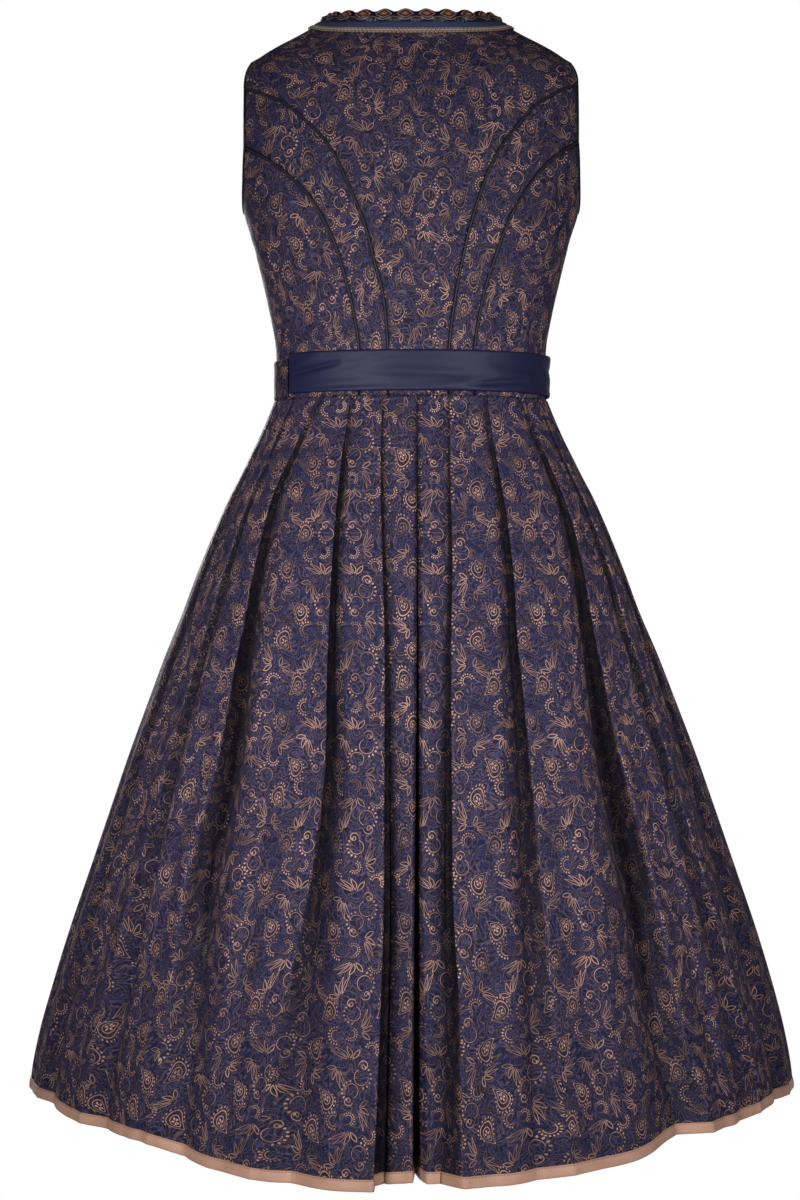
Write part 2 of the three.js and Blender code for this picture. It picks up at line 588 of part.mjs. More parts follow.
function frontPoint(hand, out, row) {
  const low = frontPlace(hand, out, Math.min(row, STRAP_BASE));
  const lowTurn = bodyTurn(low.x, low.z, true);
  const start = bodyPoint(lowTurn, low.z);
  if (row <= STRAP_BASE) return start;
  const up = bodyPoint(lowTurn, low.z + 1).sub(start).normalize();
  const endX = hand * mix(ridge.neckX, ridge.footX, out);
  const end = v3(endX, mix(0, ridge.footY, out), mix(ridge.neckZ, ridge.footZ, out));
  const leaving = start.clone().addScaledVector(up, start.distanceTo(end) / 3);
  const arriving = end.clone().add(v3(0, -STRAP_CREST_PULL, 0));
  const curve = new THREE.CubicBezierCurve3(start, leaving, arriving, end);
  return curve.getPoint((row - STRAP_BASE) / STRAP_ROWS);
}

function frontSpot(hand, out, row) {
  if (row === STRAP_TOP) {
    return { point: frontPoint(hand, out, row).add(v3(0, -SEAM_GAP / 2, 0)), normal: ridgeNormal(hand) };
  }
  const surface = (a, b) => frontPoint(hand, a, b);
  const across = clamp(out, SHARE_STEP, 1 - SHARE_STEP);
  const up = Math.max(row, SHARE_STEP);
  const normal = surfaceNormal(surface, across, up, SHARE_STEP, SHARE_STEP, INSIDE);
  return { point: frontPoint(hand, out, row), normal };
}

function frontCentre(name, hand) {
  const rows = range(STRAP_TOP + 1).map((row) => range(PANEL_STEPS + 1).map((i) => (
    frontSpot(hand, mix(FRONT_SEAM_SHARE, 1 - FRONT_SEAM_SHARE, i / PANEL_STEPS), row))));
  return panelOf(name, 'jacquard', rows);
}

function frontSideRow(hand, share) {
  const seam = frontPlace(hand, 1, share * BUST_SEAM_TOP_ROW);
  const startTurn = bodyTurn(seam.x, seam.z, true);
  const endTurn = hand * 90;
  const sideZ = mix(WAIST_Z, UNDERARM_Z, share);
  return range(PANEL_STEPS + 1).map((i) => {
    const part = mix(FRONT_SIDE.from, FRONT_SIDE.to, i / PANEL_STEPS);
    return bodySpot(mix(startTurn, endTurn, part), mix(seam.z, sideZ, part) - scoopAt(part, share));
  });
}

function frontSide(name, hand) {
  const shares = range(BUST_SEAM_TOP_ROW + 1).map((i) => i / BUST_SEAM_TOP_ROW);
  return panelOf(name, 'jacquard', shares.map((share) => frontSideRow(hand, share)));
}

// Places of the armhole piping on the yoke's edge and on the strip below it
const ARMHOLE_YOKE_SHARES = [1, 0.87, 0.74, YOKE_CORNER_SIDE];
const ARMHOLE_STRIP_SHARES = [0.66, 0.33, 0];

// The armhole's edge as spots, from the ridge down the back, under the arm and up the front
function armholeSpots(hand) {
  const inner = hand > 0 ? seams.innerLeft : seams.innerRight;
  const outer = hand > 0 ? seams.outerLeft : seams.outerRight;
  const yokeEdge = ARMHOLE_YOKE_SHARES.map((share) => yokeSpot(hand * share, 1));
  const strip = ARMHOLE_STRIP_SHARES.map((share) => {
    const from = outer(1);
    const to = inner(1);
    return spotAt(mix(from.x, to.x, share), mix(from.y, to.y, share), false);
  });
  const under = outerBackRow(outer, hand, 1).slice(1);
  const underFront = frontSideRow(hand, 1).reverse().slice(1);
  const strap = range(STRAP_TOP - ARMHOLE_ROW).map((i) => frontSpot(hand, 1, ARMHOLE_ROW + i));
  return [...yokeEdge, ...strip, ...under, ...underFront, ...strap];
}

// Places along the neck edge from the right front edge round the back to the left front edge.
// at(reach) gives the spot that far from the cloth's edge, on the bodice.
const NECK_FRONT_STEPS = 32;
const NECK_BACK_STEPS = 26;
const NECK_BACK_REACH = 0.985;
const NECK_START_ROW = NECKLINE_ROW + 0.06;
const NECK_ROW_STEP = 0.4;
const NECK_LOOK = 4;

function neckPlaces() {
  const frontWalk = (hand) => range(NECK_FRONT_STEPS + 1).map((i) => {
    const row = mix(NECK_START_ROW, STRAP_TOP, i / NECK_FRONT_STEPS);
    if (row > STRAP_BASE) {
      const width = frontPoint(hand, 0, row).distanceTo(frontPoint(hand, 1, row));
      return (reach) => frontSpot(hand, reach / width, row);
    }
    const here = frontPlace(hand, 0, row);
    const before = frontPlace(hand, 0, Math.max(NECKLINE_ROW, row - NECK_ROW_STEP));
    const after = frontPlace(hand, 0, Math.min(STRAP_BASE, row + NECK_ROW_STEP));
    const along = new THREE.Vector2(after.x - before.x, after.z - before.z).normalize();
    return (reach) => spotAt(here.x + hand * along.y * reach, here.z - hand * along.x * reach, true);
  });
  const backWalk = range(NECK_BACK_STEPS + 1).map((i) => {
    const side = mix(-NECK_BACK_REACH, NECK_BACK_REACH, i / NECK_BACK_STEPS);
    return (reach) => {
      const length = yokePoint(side, 0).distanceTo(yokePoint(side, 1));
      return yokeSpot(side, reach / length);
    };
  });
  return [...frontWalk(-1), ...backWalk, ...frontWalk(1).reverse()];
}

// A corner of a strip's section; a negative reach stands up beyond the cloth's edge
function neckCorner(place, reach, out) {
  const corner = movedOut(place(Math.max(reach, 0)), out);
  if (reach >= 0) return corner;
  const beyond = place(0).point.clone().sub(place(NECK_LOOK).point).normalize();
  return corner.addScaledVector(beyond, -reach);
}

// Rings of a strip at even steps along the neck edge. profile gives corners as {reach, out} pairs.
function neckRings(step, profile) {
  const places = neckPlaces();
  const edge = places.map((at) => at(0).point);
  const lengths = [0];
  edge.slice(1).forEach((point, i) => lengths.push(lengths[i] + point.distanceTo(edge[i])));
  const total = lengths[lengths.length - 1];
  const count = Math.round(total / step);
  return range(count + 1).map((k) => {
    const distance = k / count * total;
    let i = 0;
    while (i < places.length - 2 && lengths[i + 1] < distance) i += 1;
    const share = (distance - lengths[i]) / (lengths[i + 1] - lengths[i]);
    return profile(k).map(({ reach, out }) => {
      const corner = (place) => neckCorner(place, reach, out);
      return corner(places[i]).lerp(corner(places[i + 1]), share);
    });
  });
}

function neckStrip(strip) {
  const shoulder = LAID_ON_CURVE + strip.thick / 2;
  const crown = { reach: (strip.from + strip.to) / 2, out: LAID_ON_CURVE + strip.thick };
  return sweepOf(strip.node, strip.colour, neckRings(RUCHE.pitch / 2, () => [
    { reach: strip.from, out: LAID_ON_CURVE }, { reach: strip.to, out: LAID_ON_CURVE },
    { reach: strip.to, out: shoulder }, crown, { reach: strip.from, out: shoulder },
  ]));
}

function ruching() {
  return sweepOf('neck_ruching', 'satin', neckRings(RUCHE.pitch / RUCHE.perFold, (k) => {
    const swell = (1 - Math.cos(2 * Math.PI * k / RUCHE.perFold)) / 2;
    const crest = -RUCHE_CREST.height - RUCHE_CREST.rise * swell;
    return [
      { reach: RUCHE.seat, out: LAID_ON_CURVE }, { reach: RUCHE.seat, out: LAID_ON_CURVE + RUCHE.seatThick },
      { reach: -RUCHE.middle, out: LAID_ON_CURVE + RUCHE.lift + RUCHE.swell * swell },
      { reach: crest, out: LAID_ON_CURVE + RUCHE_CREST.lift },
      { reach: crest, out: LAID_ON_CURVE + RUCHE_CREST.under },
    ];
  }));
}

// A button with a low domed top and a narrow seat, its back on the right front edge
function button(index) {
  const z = BUTTON.top - index * BUTTON.pitch;
  const spot = bodySpot(180, z);
  const profile = buttonProfile.map(({ r, h }) => new THREE.Vector2(r * BUTTON.radius, h * BUTTON.height));
  const geometry = new THREE.LatheGeometry(profile, BUTTON.sides);
  const mesh = new THREE.Mesh(geometry, new THREE.MeshStandardMaterial(colours.button));
  mesh.name = `button_${index + 1}`;
  mesh.position.copy(movedOut(spot, BUTTON.lift));
  mesh.quaternion.setFromUnitVectors(v3(0, 1, 0), spot.normal);
  return mesh;
}

// The skirt's level sections
const skirtHalf = column(skirtSections, 'z', 'half');
const waistHalf = skirtSections[0].half;
const hemHalf = skirtSections[skirtSections.length - 1].half;
const growth = (level) => (skirtHalf(level) - waistHalf) / (hemHalf - waistHalf);
const stageValue = (values) => smoothCurve(FOLD_STAGES, values);
const sinkShare = stageValue(SINK_SHARE);
const TURN_LOOK = 0.2;
const frontRightFolds = frontLeftFolds.map((fold) => ({
  ...fold,
  name: fold.name.replace('left', 'right'),
  turns: fold.turns.map((turn) => -turn),
}));
const folds = [...backFolds, ...frontLeftFolds, frontFold, ...frontRightFolds];
const foldLines = folds.map((fold) => ({
  name: fold.name,
  turn: smoothCurve(FOLD_LEVELS, fold.turns),
  depth: stageValue(fold.depth),
  drop: stageValue(fold.drop),
})).sort((a, b) => a.turn(WAIST_Z) - b.turn(WAIST_Z));

function skirtBase(turn, level) {
  const share = growth(level);
  const bend = 2 / mix(SKIRT_POWER.waist, SKIRT_POWER.hem, share);
  const across = signedPower(Math.sin(radians(turn)), bend);
  const along = signedPower(Math.cos(radians(turn)), bend);
  const depth = along >= 0
    ? mix(SKIRT_DEPTH.waistBack, SKIRT_DEPTH.hemBack, share)
    : mix(SKIRT_DEPTH.waistFront, SKIRT_DEPTH.hemFront, share);
  return new THREE.Vector2(skirtHalf(level) * across, depth * along);
}

const hemCurve = column(hemHeights, 'turn', 'z');
const hemZ = (turn) => hemCurve(turn > 180 ? turn - 360 : turn);

function heightAt(turn, level) {
  return mix(SKIRT_TOP_Z, hemZ(turn), (level - SKIRT_TOP_Z) / (HEM_LEVEL - SKIRT_TOP_Z));
}

// The direction along the skirt's level line, towards larger turns
function skirtAlong(turn, level) {
  return skirtBase(turn + TURN_LOOK, level).sub(skirtBase(turn - TURN_LOOK, level)).normalize();
}

// Which sides of a fold lie under its edge: -1 and +1 are the sides of smaller and larger turn
function underSides(name) {
  if (name.startsWith('centre')) return [-1, 1];
  const left = name.includes('left');
  const back = !name.startsWith('front');
  return [left === back ? -1 : 1];
}

const foldIs = (fold, side) => underSides(fold.name).includes(side);

// One panel between two folds at a level, as {turn, offset} columns from fold a to fold b
function panelColumns(a, b, level) {
  const startTurn = a.turn(level);
  const endTurn = b.turn(level) + (b.turn(level) < startTurn ? 360 : 0);
  const start = skirtBase(startTurn, level);
  const width = start.distanceTo(skirtBase(endTurn, level));
  const sink = sinkShare(level);
  const startUnder = foldIs(a, 1);
  const endUnder = foldIs(b, -1);
  const startDrop = a.drop(level) / width;
  const endDrop = b.drop(level) / width;
  const bothUnder = startUnder && endUnder;
  const boxFloor = bothUnder ? BOX_FLOOR * Math.min(a.depth(level), b.depth(level)) : 0;
  const fall = (distance) => clamp(1 - distance / sink, 0, 1) ** SINK_POWER;
  return panelShares(startUnder, endUnder, sink, startDrop, endDrop).map((share) => {
    const startDepth = startUnder ? a.depth(level) * fall(share) : 0;
    const endDepth = endUnder ? b.depth(level) * fall(1 - share) : 0;
    return { turn: mix(startTurn, endTurn, share), offset: -Math.max(startDepth, endDepth, boxFloor) };
  });
}

// Where a panel's five columns lie, as shares of its width, closer where it sinks under a fold
function panelShares(startUnder, endUnder, sink, startDrop, endDrop) {
  if (startUnder && endUnder) return [startDrop / 2, sink / 2, 0.5, 1 - sink / 2, 1 - endDrop];
  if (endUnder) return [0, (1 - sink) / 2, 1 - sink, 1 - sink / 2, 1 - endDrop];
  if (startUnder) return [startDrop, sink / 2, sink, (1 + sink) / 2, 1];
  return [0, 0.25, 0.5, 0.75, 1];
}

// The outer line of the skirt at a level, all the way round from the centre back fold
function skirtRing(level) {
  const first = foldLines.findIndex((fold) => fold.name === 'centre_back');
  return foldLines.flatMap((_, i) => {
    const a = foldLines[(first + i) % foldLines.length];
    const b = foldLines[(first + i + 1) % foldLines.length];
    const columns = panelColumns(a, b, level);
    const onAxis = a.name.startsWith('centre') ? [{ turn: a.turn(level), offset: -a.depth(level) }] : [];
    return [...onAxis, ...columns];
  }).map(({ turn, offset }) => {
    const base = skirtBase(turn, level);
    const ahead = skirtAlong(turn, level);
    return { turn, point: v3(base.x - ahead.y * offset, base.y + ahead.x * offset, heightAt(turn, level)) };
  });
}

// The same line moved inwards, or outwards when distance is negative, with its corners kept whole
function offsetRing(ring, distance, sharpest = WALL_SHARPEST) {
  return ring.map((spot, i) => {
    const before = ring[(i + ring.length - 1) % ring.length].point;
    const after = ring[(i + 1) % ring.length].point;
    const normalOf = (from, to) => new THREE.Vector2(to.y - from.y, from.x - to.x).normalize();
    const first = normalOf(before, spot.point);
    const second = normalOf(spot.point, after);
    const middle = first.clone().add(second).normalize();
    const reach = distance / Math.max(sharpest, middle.dot(first));
    return v3(spot.point.x + middle.x * reach, spot.point.y + middle.y * reach, spot.point.z);
  });
}

const skirtRings = SKIRT_ROWS.map(skirtRing);
const ringSize = skirtRings[0].length;
const skirtInner = skirtRings.map((ring) => offsetRing(ring, CLOTH));

// A skirt panel from one column round to another, parted from its neighbours by a seam gap
function skirtPanel(name, from, to) {
  const columns = range(to - from + 1).map((i) => (from + i) % ringSize);
  const outerRows = skirtRings.map((ring) => columns.map((c) => ring[c].point.clone()));
  const innerRows = skirtInner.map((ring) => columns.map((c) => ring[c].clone()));
  const nudge = (row, end, next) => {
    row[end].add(row[next].clone().sub(row[end]).setLength(SEAM_GAP / 2));
  };
  [...outerRows, ...innerRows].forEach((row) => {
    nudge(row, 0, 1);
    nudge(row, row.length - 1, row.length - 2);
  });
  const width = columns.length;
  const count = outerRows.length * width;
  const triangles = [];
  const quad = (a, b, c, d) => triangles.push([a, b, c], [a, c, d]);
  for (let r = 0; r < outerRows.length - 1; r += 1) {
    for (let c = 0; c < width - 1; c += 1) {
      const a = r * width + c;
      quad(a, a + 1, a + 1 + width, a + width);
      quad(a + count, a + width + count, a + 1 + width + count, a + 1 + count);
    }
    const left = r * width;
    const right = r * width + width - 1;
    quad(left, left + width, left + width + count, left + count);
    quad(right, right + count, right + width + count, right + width);
  }
  for (let c = 0; c < width - 1; c += 1) {
    const bottom = (outerRows.length - 1) * width + c;
    quad(c, c + count, c + 1 + count, c + 1);
    quad(bottom, bottom + 1, bottom + 1 + count, bottom + count);
  }
  const points = [...outerRows.flat(), ...innerRows.flat()];
  return meshOf(name, 'jacquard', points, turnedOut(points, triangles));
}

function skirtPanels() {
  const columnNear = (turn) => {
    const distances = skirtRings[0].map((spot) => Math.abs(((spot.turn - turn + 540) % 360) - 180));
    return distances.indexOf(Math.min(...distances));
  };
  const leftSide = columnNear(90);
  const front = columnNear(180);
  const rightSide = columnNear(270);
  return [
    skirtPanel('skirt_back_left', 0, leftSide),
    skirtPanel('skirt_front_left', leftSide, front),
    skirtPanel('skirt_front_right', front, rightSide),
    skirtPanel('skirt_back_right', rightSide, ringSize),
  ];
}

// The hem binding: a strip laid on the skirt's outer face, all the way round
function hemBinding() {
  const low = skirtRings[skirtRings.length - 1];
  const high = skirtRings[skirtRings.length - 2];
  const share = BINDING.height / (high[0].point.z - low[0].point.z);
  const upper = low.map((spot, i) => ({ point: spot.point.clone().lerp(high[i].point, share) }));
  const out = (ring, distance) => offsetRing(ring, -distance, BINDING_SHARPEST);
  const rings = [
    out(low, LAID_ON_CURVE), out(low, LAID_ON_CURVE + BINDING.cloth),
    out(upper, LAID_ON_CURVE + BINDING.cloth), out(upper, LAID_ON_CURVE),
  ];
  return sweepOf('hem_binding', 'copperSatin', low.map((_, i) => rings.map((ring) => ring[i])), true);
}

// A flat band round the waist between two turns, lying on the bodice
function waistBand(name, colour, band, lift) {
  const steps = Math.round(Math.abs(band.toTurn - band.fromTurn) / BAND_STEP);
  const levels = [
    { z: band.bottom, belly: 0 },
    { z: mix(band.bottom, band.top, 0.5), belly: BAND_BELLY },
    { z: band.top, belly: 0 },
  ];
  const rows = levels.map(({ z, belly }) => range(steps + 1).map((i) => {
    const spot = bodySpot(mix(band.fromTurn, band.toTurn, i / steps), z);
    return { point: movedOut(spot, lift + band.cloth + belly), normal: spot.normal };
  }));
  return panelOf(name, colour, rows, band.cloth);
}

function apronPanel() {
  const top = SKIRT_TOP_Z - APRON_BELOW_BAND;
  const levels = [...SKIRT_ROWS.slice(0, -1), HEM_LEVEL + APRON.hemAbove];
  const rows = levels.map((level) => range(APRON.columns + 1).map((i) => {
    const turn = mix(APRON.turn, 360 - APRON.turn, i / APRON.columns);
    const base = skirtBase(turn, level);
    const ahead = skirtAlong(turn, level);
    const swell = (1 - Math.cos(2 * Math.PI * APRON.waves * i / APRON.columns)) / 2;
    const wave = (APRON_WAIST_WAVE + APRON.wave * growth(level)) * swell;
    const normal = v3(-ahead.y, ahead.x, 0);
    const z = Math.min(top, heightAt(turn, level));
    return { point: v3(base.x, base.y, z).addScaledVector(normal, APRON.clear + APRON.cloth + wave), normal };
  }));
  return panelOf('apron_panel', 'apronCloth', rows, APRON.cloth);
}

// A flat strip of cloth along a path, its width set across by the given direction
function strapOf(name, colour, stations, cloth) {
  const rings = stations.map(({ at, across, out, wide }) => {
    const half = across.clone().setLength(wide / 2);
    const thick = out.clone().setLength(cloth / 2);
    return [
      at.clone().add(half).add(thick), at.clone().sub(half).add(thick),
      at.clone().sub(half).sub(thick), at.clone().add(half).sub(thick),
    ];
  });
  return sweepOf(name, colour, rings);
}

// The bow's seat on the waistband: where its knot lies, along the band and away from it
function bowSeat() {
  const seat = bodySpot(BOW.turn, BOW.z);
  const out = v3(seat.normal.x, seat.normal.y, 0).normalize();
  return { out, across: v3(-out.y, out.x, 0), centre: seat.point.clone().addScaledVector(out, BOW.standOff) };
}

function bowKnot() {
  const { out, across, centre } = bowSeat();
  const at = (z) => centre.clone().addScaledVector(Z_AXIS, z);
  const stations = [
    { z: -KNOT.half, wide: KNOT.endWide }, { z: -KNOT.shoulder, wide: KNOT.wide },
    { z: KNOT.shoulder, wide: KNOT.wide }, { z: KNOT.half, wide: KNOT.endWide },
  ];
  const rings = stations.map(({ z, wide }) => ({ at: at(z), across, out, wide }));
  return strapOf('bow_knot', 'satin', rings, KNOT.thick);
}

// One loop of the bow: out from the knot and back, narrow at its foot and sagging at its end
function bowLoop(name, hand) {
  const { out, across, centre } = bowSeat();
  const stations = range(LOOP.steps + 1).map((i) => {
    const angle = Math.PI * i / LOOP.steps;
    const reach = Math.sin(angle);
    const at = centre.clone()
      .addScaledVector(across, hand * (LOOP.foot + LOOP.long * reach))
      .addScaledVector(out, 1 - Math.cos(angle) * (LOOP.pinch + LOOP.open * reach))
      .addScaledVector(Z_AXIS, -LOOP.sag * reach * reach);
    const along = across.clone().multiplyScalar(Math.cos(angle)).addScaledVector(out, LOOP_ROUNDNESS * reach);
    const wide = mix(BOW.narrow, LOOP.wide, reach ** LOOP_SPREAD);
    return { at, across: Z_AXIS, out: along.cross(Z_AXIS), wide };
  });
  return strapOf(name, 'satin', stations, CLOTH);
}

// One tail of the bow, hanging from the knot in front of the apron
function bowTail(name, hand) {
  const stations = range(TAIL.steps + 1).map((i) => {
    const share = i / TAIL.steps;
    const z = BOW.z - TAIL.start - TAIL.long * share;
    const turn = BOW.turn + hand * (TAIL.turn + TAIL.spread * Math.sqrt(share));
    const onSkirt = skirtBase(turn, Math.min(z, SKIRT_TOP_Z));
    const base = z > SKIRT_TOP_Z ? bodyPoint(turn, z) : v3(onSkirt.x, onSkirt.y, z);
    const away = v3(base.x, base.y, 0).normalize();
    const lift = mix(TAIL.lift, TAIL.clear, Math.min(1, share / TAIL_LIFTS_BY)) + (hand > 0 ? TAIL.over : 0);
    const wide = mix(BOW.narrow, TAIL.wide, Math.min(1, share / TAIL_WIDENS_BY));
    return { at: base.clone().addScaledVector(away, lift), across: v3(-away.y, away.x, 0), out: away, wide };
  });
  return strapOf(name, 'satin', stations, CLOTH);
}

function bodicePieces() {
  return [
    backCentre(),
    innerStrip('bodice_back_inner_left', seams.innerLeft, seams.outerLeft),
    innerStrip('bodice_back_inner_right', seams.innerRight, seams.outerRight),
    outerBack('bodice_back_outer_left', seams.outerLeft, 1),
    outerBack('bodice_back_outer_right', seams.outerRight, -1),
    frontCentre('bodice_front_centre_left', 1),
    frontCentre('bodice_front_centre_right', -1),
    frontSide('bodice_front_side_left', 1),
    frontSide('bodice_front_side_right', -1),
  ];
}

function seamPiping() {
  return Object.entries(seams).map(([name, walk]) => {
    const words = name.replace(/[A-Z]/, (letter) => `_${letter.toLowerCase()}`);
    const shares = seamShares.filter((share) => share >= PIPING_FROM && share < PIPING_TO);
    const spots = shares.map((share) => walk(share)).map((place) => spotAt(place.x, place.y, false));
    return cordOn(`piping_${words}`, 'satin', spots, PIPING_RADIUS, PIPING_SIDES);
  });
}

function armholePiping(name, hand) {
  return cordOn(name, 'satin', armholeSpots(hand), ARMHOLE_PIPING_RADIUS, PIPING_SIDES, true);
}

const dirndl = new THREE.Group();
dirndl.add(
  ...bodicePieces(),
  ...seamPiping(),
  armholePiping('piping_armhole_left', 1),
  armholePiping('piping_armhole_right', -1),
  ruching(),
  ...neckStrips.map(neckStrip),
  ...range(BUTTON.count).map(button),
  ...skirtPanels(),
  hemBinding(),
  apronPanel(),
  waistBand('apron_waistband', 'apronCloth', BAND, LAID_ON_CURVE),
  waistBand('waist_tie', 'satin', TIE, LAID_ON_CURVE + BAND.cloth + LAID_ON_CURVE),
  bowKnot(),
  bowLoop('bow_loop_left', 1),
  bowLoop('bow_loop_right', -1),
  bowTail('bow_tail_left', 1),
  bowTail('bow_tail_right', -1),
);

export default dirndl;
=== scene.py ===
import math

import bmesh
import bpy
import numpy as np
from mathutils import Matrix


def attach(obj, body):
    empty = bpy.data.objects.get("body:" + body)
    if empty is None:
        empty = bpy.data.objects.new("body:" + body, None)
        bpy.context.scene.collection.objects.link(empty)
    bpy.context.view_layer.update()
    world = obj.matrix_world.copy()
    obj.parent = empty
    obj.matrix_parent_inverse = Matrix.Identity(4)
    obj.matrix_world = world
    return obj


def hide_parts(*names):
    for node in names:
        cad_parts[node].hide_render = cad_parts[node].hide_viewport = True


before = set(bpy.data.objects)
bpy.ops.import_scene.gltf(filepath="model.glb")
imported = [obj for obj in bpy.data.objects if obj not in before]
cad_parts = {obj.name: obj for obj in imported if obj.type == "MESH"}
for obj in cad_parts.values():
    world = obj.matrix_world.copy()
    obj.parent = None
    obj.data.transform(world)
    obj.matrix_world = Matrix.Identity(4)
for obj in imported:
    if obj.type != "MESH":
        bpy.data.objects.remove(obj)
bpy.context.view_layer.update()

# Camera
# The view is level from behind the dress at the middle of its height, far enough back that a
# pixel of the 800 by 1200 picture is a millimetre at the depth of the shoulders.
CAMERA_AT = (0.011, 2.6, -0.552)
CAMERA_TILT = math.radians(90)
CAMERA_HEADING = math.radians(180)
SENSOR = 36.0
LENS = 78.0
PICTURE_WIDE = 800
PICTURE_TALL = 1200

camera_data = bpy.data.cameras.new("camera")
camera_data.sensor_fit = "VERTICAL"
camera_data.sensor_height = SENSOR
camera_data.sensor_width = SENSOR * PICTURE_WIDE / PICTURE_TALL
camera_data.lens = LENS
camera = bpy.data.objects.new("camera", camera_data)
camera.location = CAMERA_AT
camera.rotation_euler = (CAMERA_TILT, 0, CAMERA_HEADING)
bpy.context.collection.objects.link(camera)
bpy.context.scene.camera = camera

# Studio
# A round pale floor under the hanging dress, and a surround that is white before and behind it and
# dimmer at the sides and overhead. Soft boxes stand on both sides of the camera, and one in front
# of the dress.
FLOOR_Z = -1.5
FLOOR_RADIUS = 1.0
FLOOR_SIDES = 96
soft_boxes = [
    {"name": "key", "at": (1.35, 2.6, -0.45), "size": 0.8, "power": 3.1, "aim": (0.0, 0.1, -0.58)},
    {"name": "fill", "at": (-1.5, 2.5, -0.5), "size": 0.8, "power": 2.4, "aim": (0.0, 0.1, -0.58)},
    {"name": "front", "at": (0.6, -2.6, 0.0), "size": 1.2, "power": 4.2, "aim": (0.0, 0.0, -0.5)},
]
LAMP_SPREAD = math.radians(34)


def plain_material(name, colour, roughness):
    """A surface of one colour for the floor."""
    material = bpy.data.materials.new(name)
    material.use_nodes = True
    shader = material.node_tree.nodes["Principled BSDF"]
    shader.inputs["Base Color"].default_value = (*colour, 1)
    shader.inputs["Roughness"].default_value = roughness
    return material


floor_mesh = bpy.data.meshes.new("floor")
floor_turn = np.linspace(0, 2 * np.pi, FLOOR_SIDES, endpoint=False)
floor_rim = np.stack([np.cos(floor_turn), np.sin(floor_turn), 0 * floor_turn], axis=-1) * FLOOR_RADIUS
floor_rim[:, 2] = FLOOR_Z
floor_mesh.from_pydata(floor_rim, [], [tuple(range(FLOOR_SIDES))])
floor_mesh.materials.append(plain_material("floor_paint", (0.88, 0.88, 0.88), 0.95))
floor = bpy.data.objects.new("floor", floor_mesh)
bpy.context.collection.objects.link(floor)

for box in soft_boxes:
    light = bpy.data.lights.new(box["name"], "AREA")
    light.shape = "DISK"
    light.size = box["size"]
    light.energy = box["power"]
    light.spread = LAMP_SPREAD
    lamp = bpy.data.objects.new(box["name"], light)
    lamp.location = box["at"]
    aim = np.array(box["aim"]) - np.array(box["at"])
    flat_reach = math.hypot(aim[0], aim[1])
    lamp.rotation_euler = (math.atan2(flat_reach, -aim[2]), 0, math.atan2(-aim[0], aim[1]))
    bpy.context.collection.objects.link(lamp)

surround = bpy.data.worlds.new("surround")
surround.use_nodes = True
sky = surround.node_tree
heading = sky.nodes.new("ShaderNodeTexCoord")
height = sky.nodes.new("ShaderNodeSeparateXYZ")
ranges = [
    {"axis": "Y", "begin": 0.86, "end": 0.955, "low": 0.16, "high": 1.0},
    {"axis": "Z", "begin": 0.27, "end": 0.7, "low": 1.0, "high": 0.2},
]
strength = sky.nodes.new("ShaderNodeMath")
strength.operation = "MULTIPLY"
for place, span in enumerate(ranges):
    size = sky.nodes.new("ShaderNodeMath")
    size.operation = "ABSOLUTE"
    band = sky.nodes.new("ShaderNodeMapRange")
    band.interpolation_type = "SMOOTHSTEP"
    band.inputs["From Min"].default_value = span["begin"]
    band.inputs["From Max"].default_value = span["end"]
    band.inputs["To Min"].default_value = span["low"]
    band.inputs["To Max"].default_value = span["high"]
    sky.links.new(height.outputs[span["axis"]], size.inputs[0])
    sky.links.new(size.outputs[0], band.inputs["Value"])
    sky.links.new(band.outputs["Result"], strength.inputs[place])
sky.links.new(heading.outputs["Generated"], height.inputs[0])
sky.links.new(strength.outputs[0], sky.nodes["Background"].inputs["Strength"])
sky.nodes["Background"].inputs["Color"].default_value = (1, 1, 1, 1)
bpy.context.scene.world = surround
bpy.context.scene.view_settings.view_transform = "Standard"

# Bodice form
# The bodice is cut to a rounded body section at each height, with a soft cup on each side of the
# front. Its back has two curved seams on each side that run from the armhole to the waist, and a
# yoke in one with the centre panel that fans over the shoulders. All lengths here are millimetres.
MM = 0.001
WAIST_Z = -354.0
UNDERARM_Z = -165.0
ARMHOLE_X = 164.0
ARMHOLE_SCOOP = 14.0
YOKE_LEFT_Z = -48.0
YOKE_RIGHT_Z = -43.0
YOKE_CORNER = 0.6
YOKE_BLEND = 0.36
BUST = {"x": 84, "z": -198, "wide": 46, "tall": 52, "out": 17}
body_sections = {
    "z": [-356, -330, -302, -272, -232, -192, -165, -132, -107, -80, -50, -20],
    "half": [134, 134, 135, 140, 149, 159, 167, 170, 172, 173, 172, 168],
    "back": [92, 92, 94, 100, 107, 112, 114, 114, 112, 108, 99, 86],
    "front": [90, 90, 93, 100, 108, 114, 116, 114, 110, 104, 94, 80],
    "power": [2.15, 2.15, 2.15, 2.2, 2.25, 2.3, 2.3, 2.3, 2.3, 2.3, 2.3, 2.3],
}
back_seams = {
    "inner_left": {
        "x": [22.6, 22.8, 27, 34.5, 44, 55, 66, 77, 91, 110, 131, ARMHOLE_X],
        "z": [-354, -308, -261, -231, -195, -166, -141, -119, -101, -82, -66, YOKE_LEFT_Z],
    },
    "inner_right": {
        "x": [-36.3, -36.5, -42, -47.6, -55, -64.7, -74.4, -86, -101, -118, -138, -ARMHOLE_X],
        "z": [-354, -308, -262, -232, -199, -166, -139, -117, -96, -75, -60, YOKE_RIGHT_Z],
    },
    "outer_left": {
        "x": [51, 51, 55.4, 62, 71.6, 82, 95.7, 113, 134, 149.5, ARMHOLE_X],
        "z": [-354, -308, -276, -248, -215, -191, -167, -147, -128, -117, -107],
    },
    "outer_right": {
        "x": [-61.5, -61.5, -65.3, -71, -80.5, -91, -104.6, -127.4, -145.8, -ARMHOLE_X],
        "z": [-354, -307, -279, -252, -222, -193, -166, -133, -116, -101],
    },
}
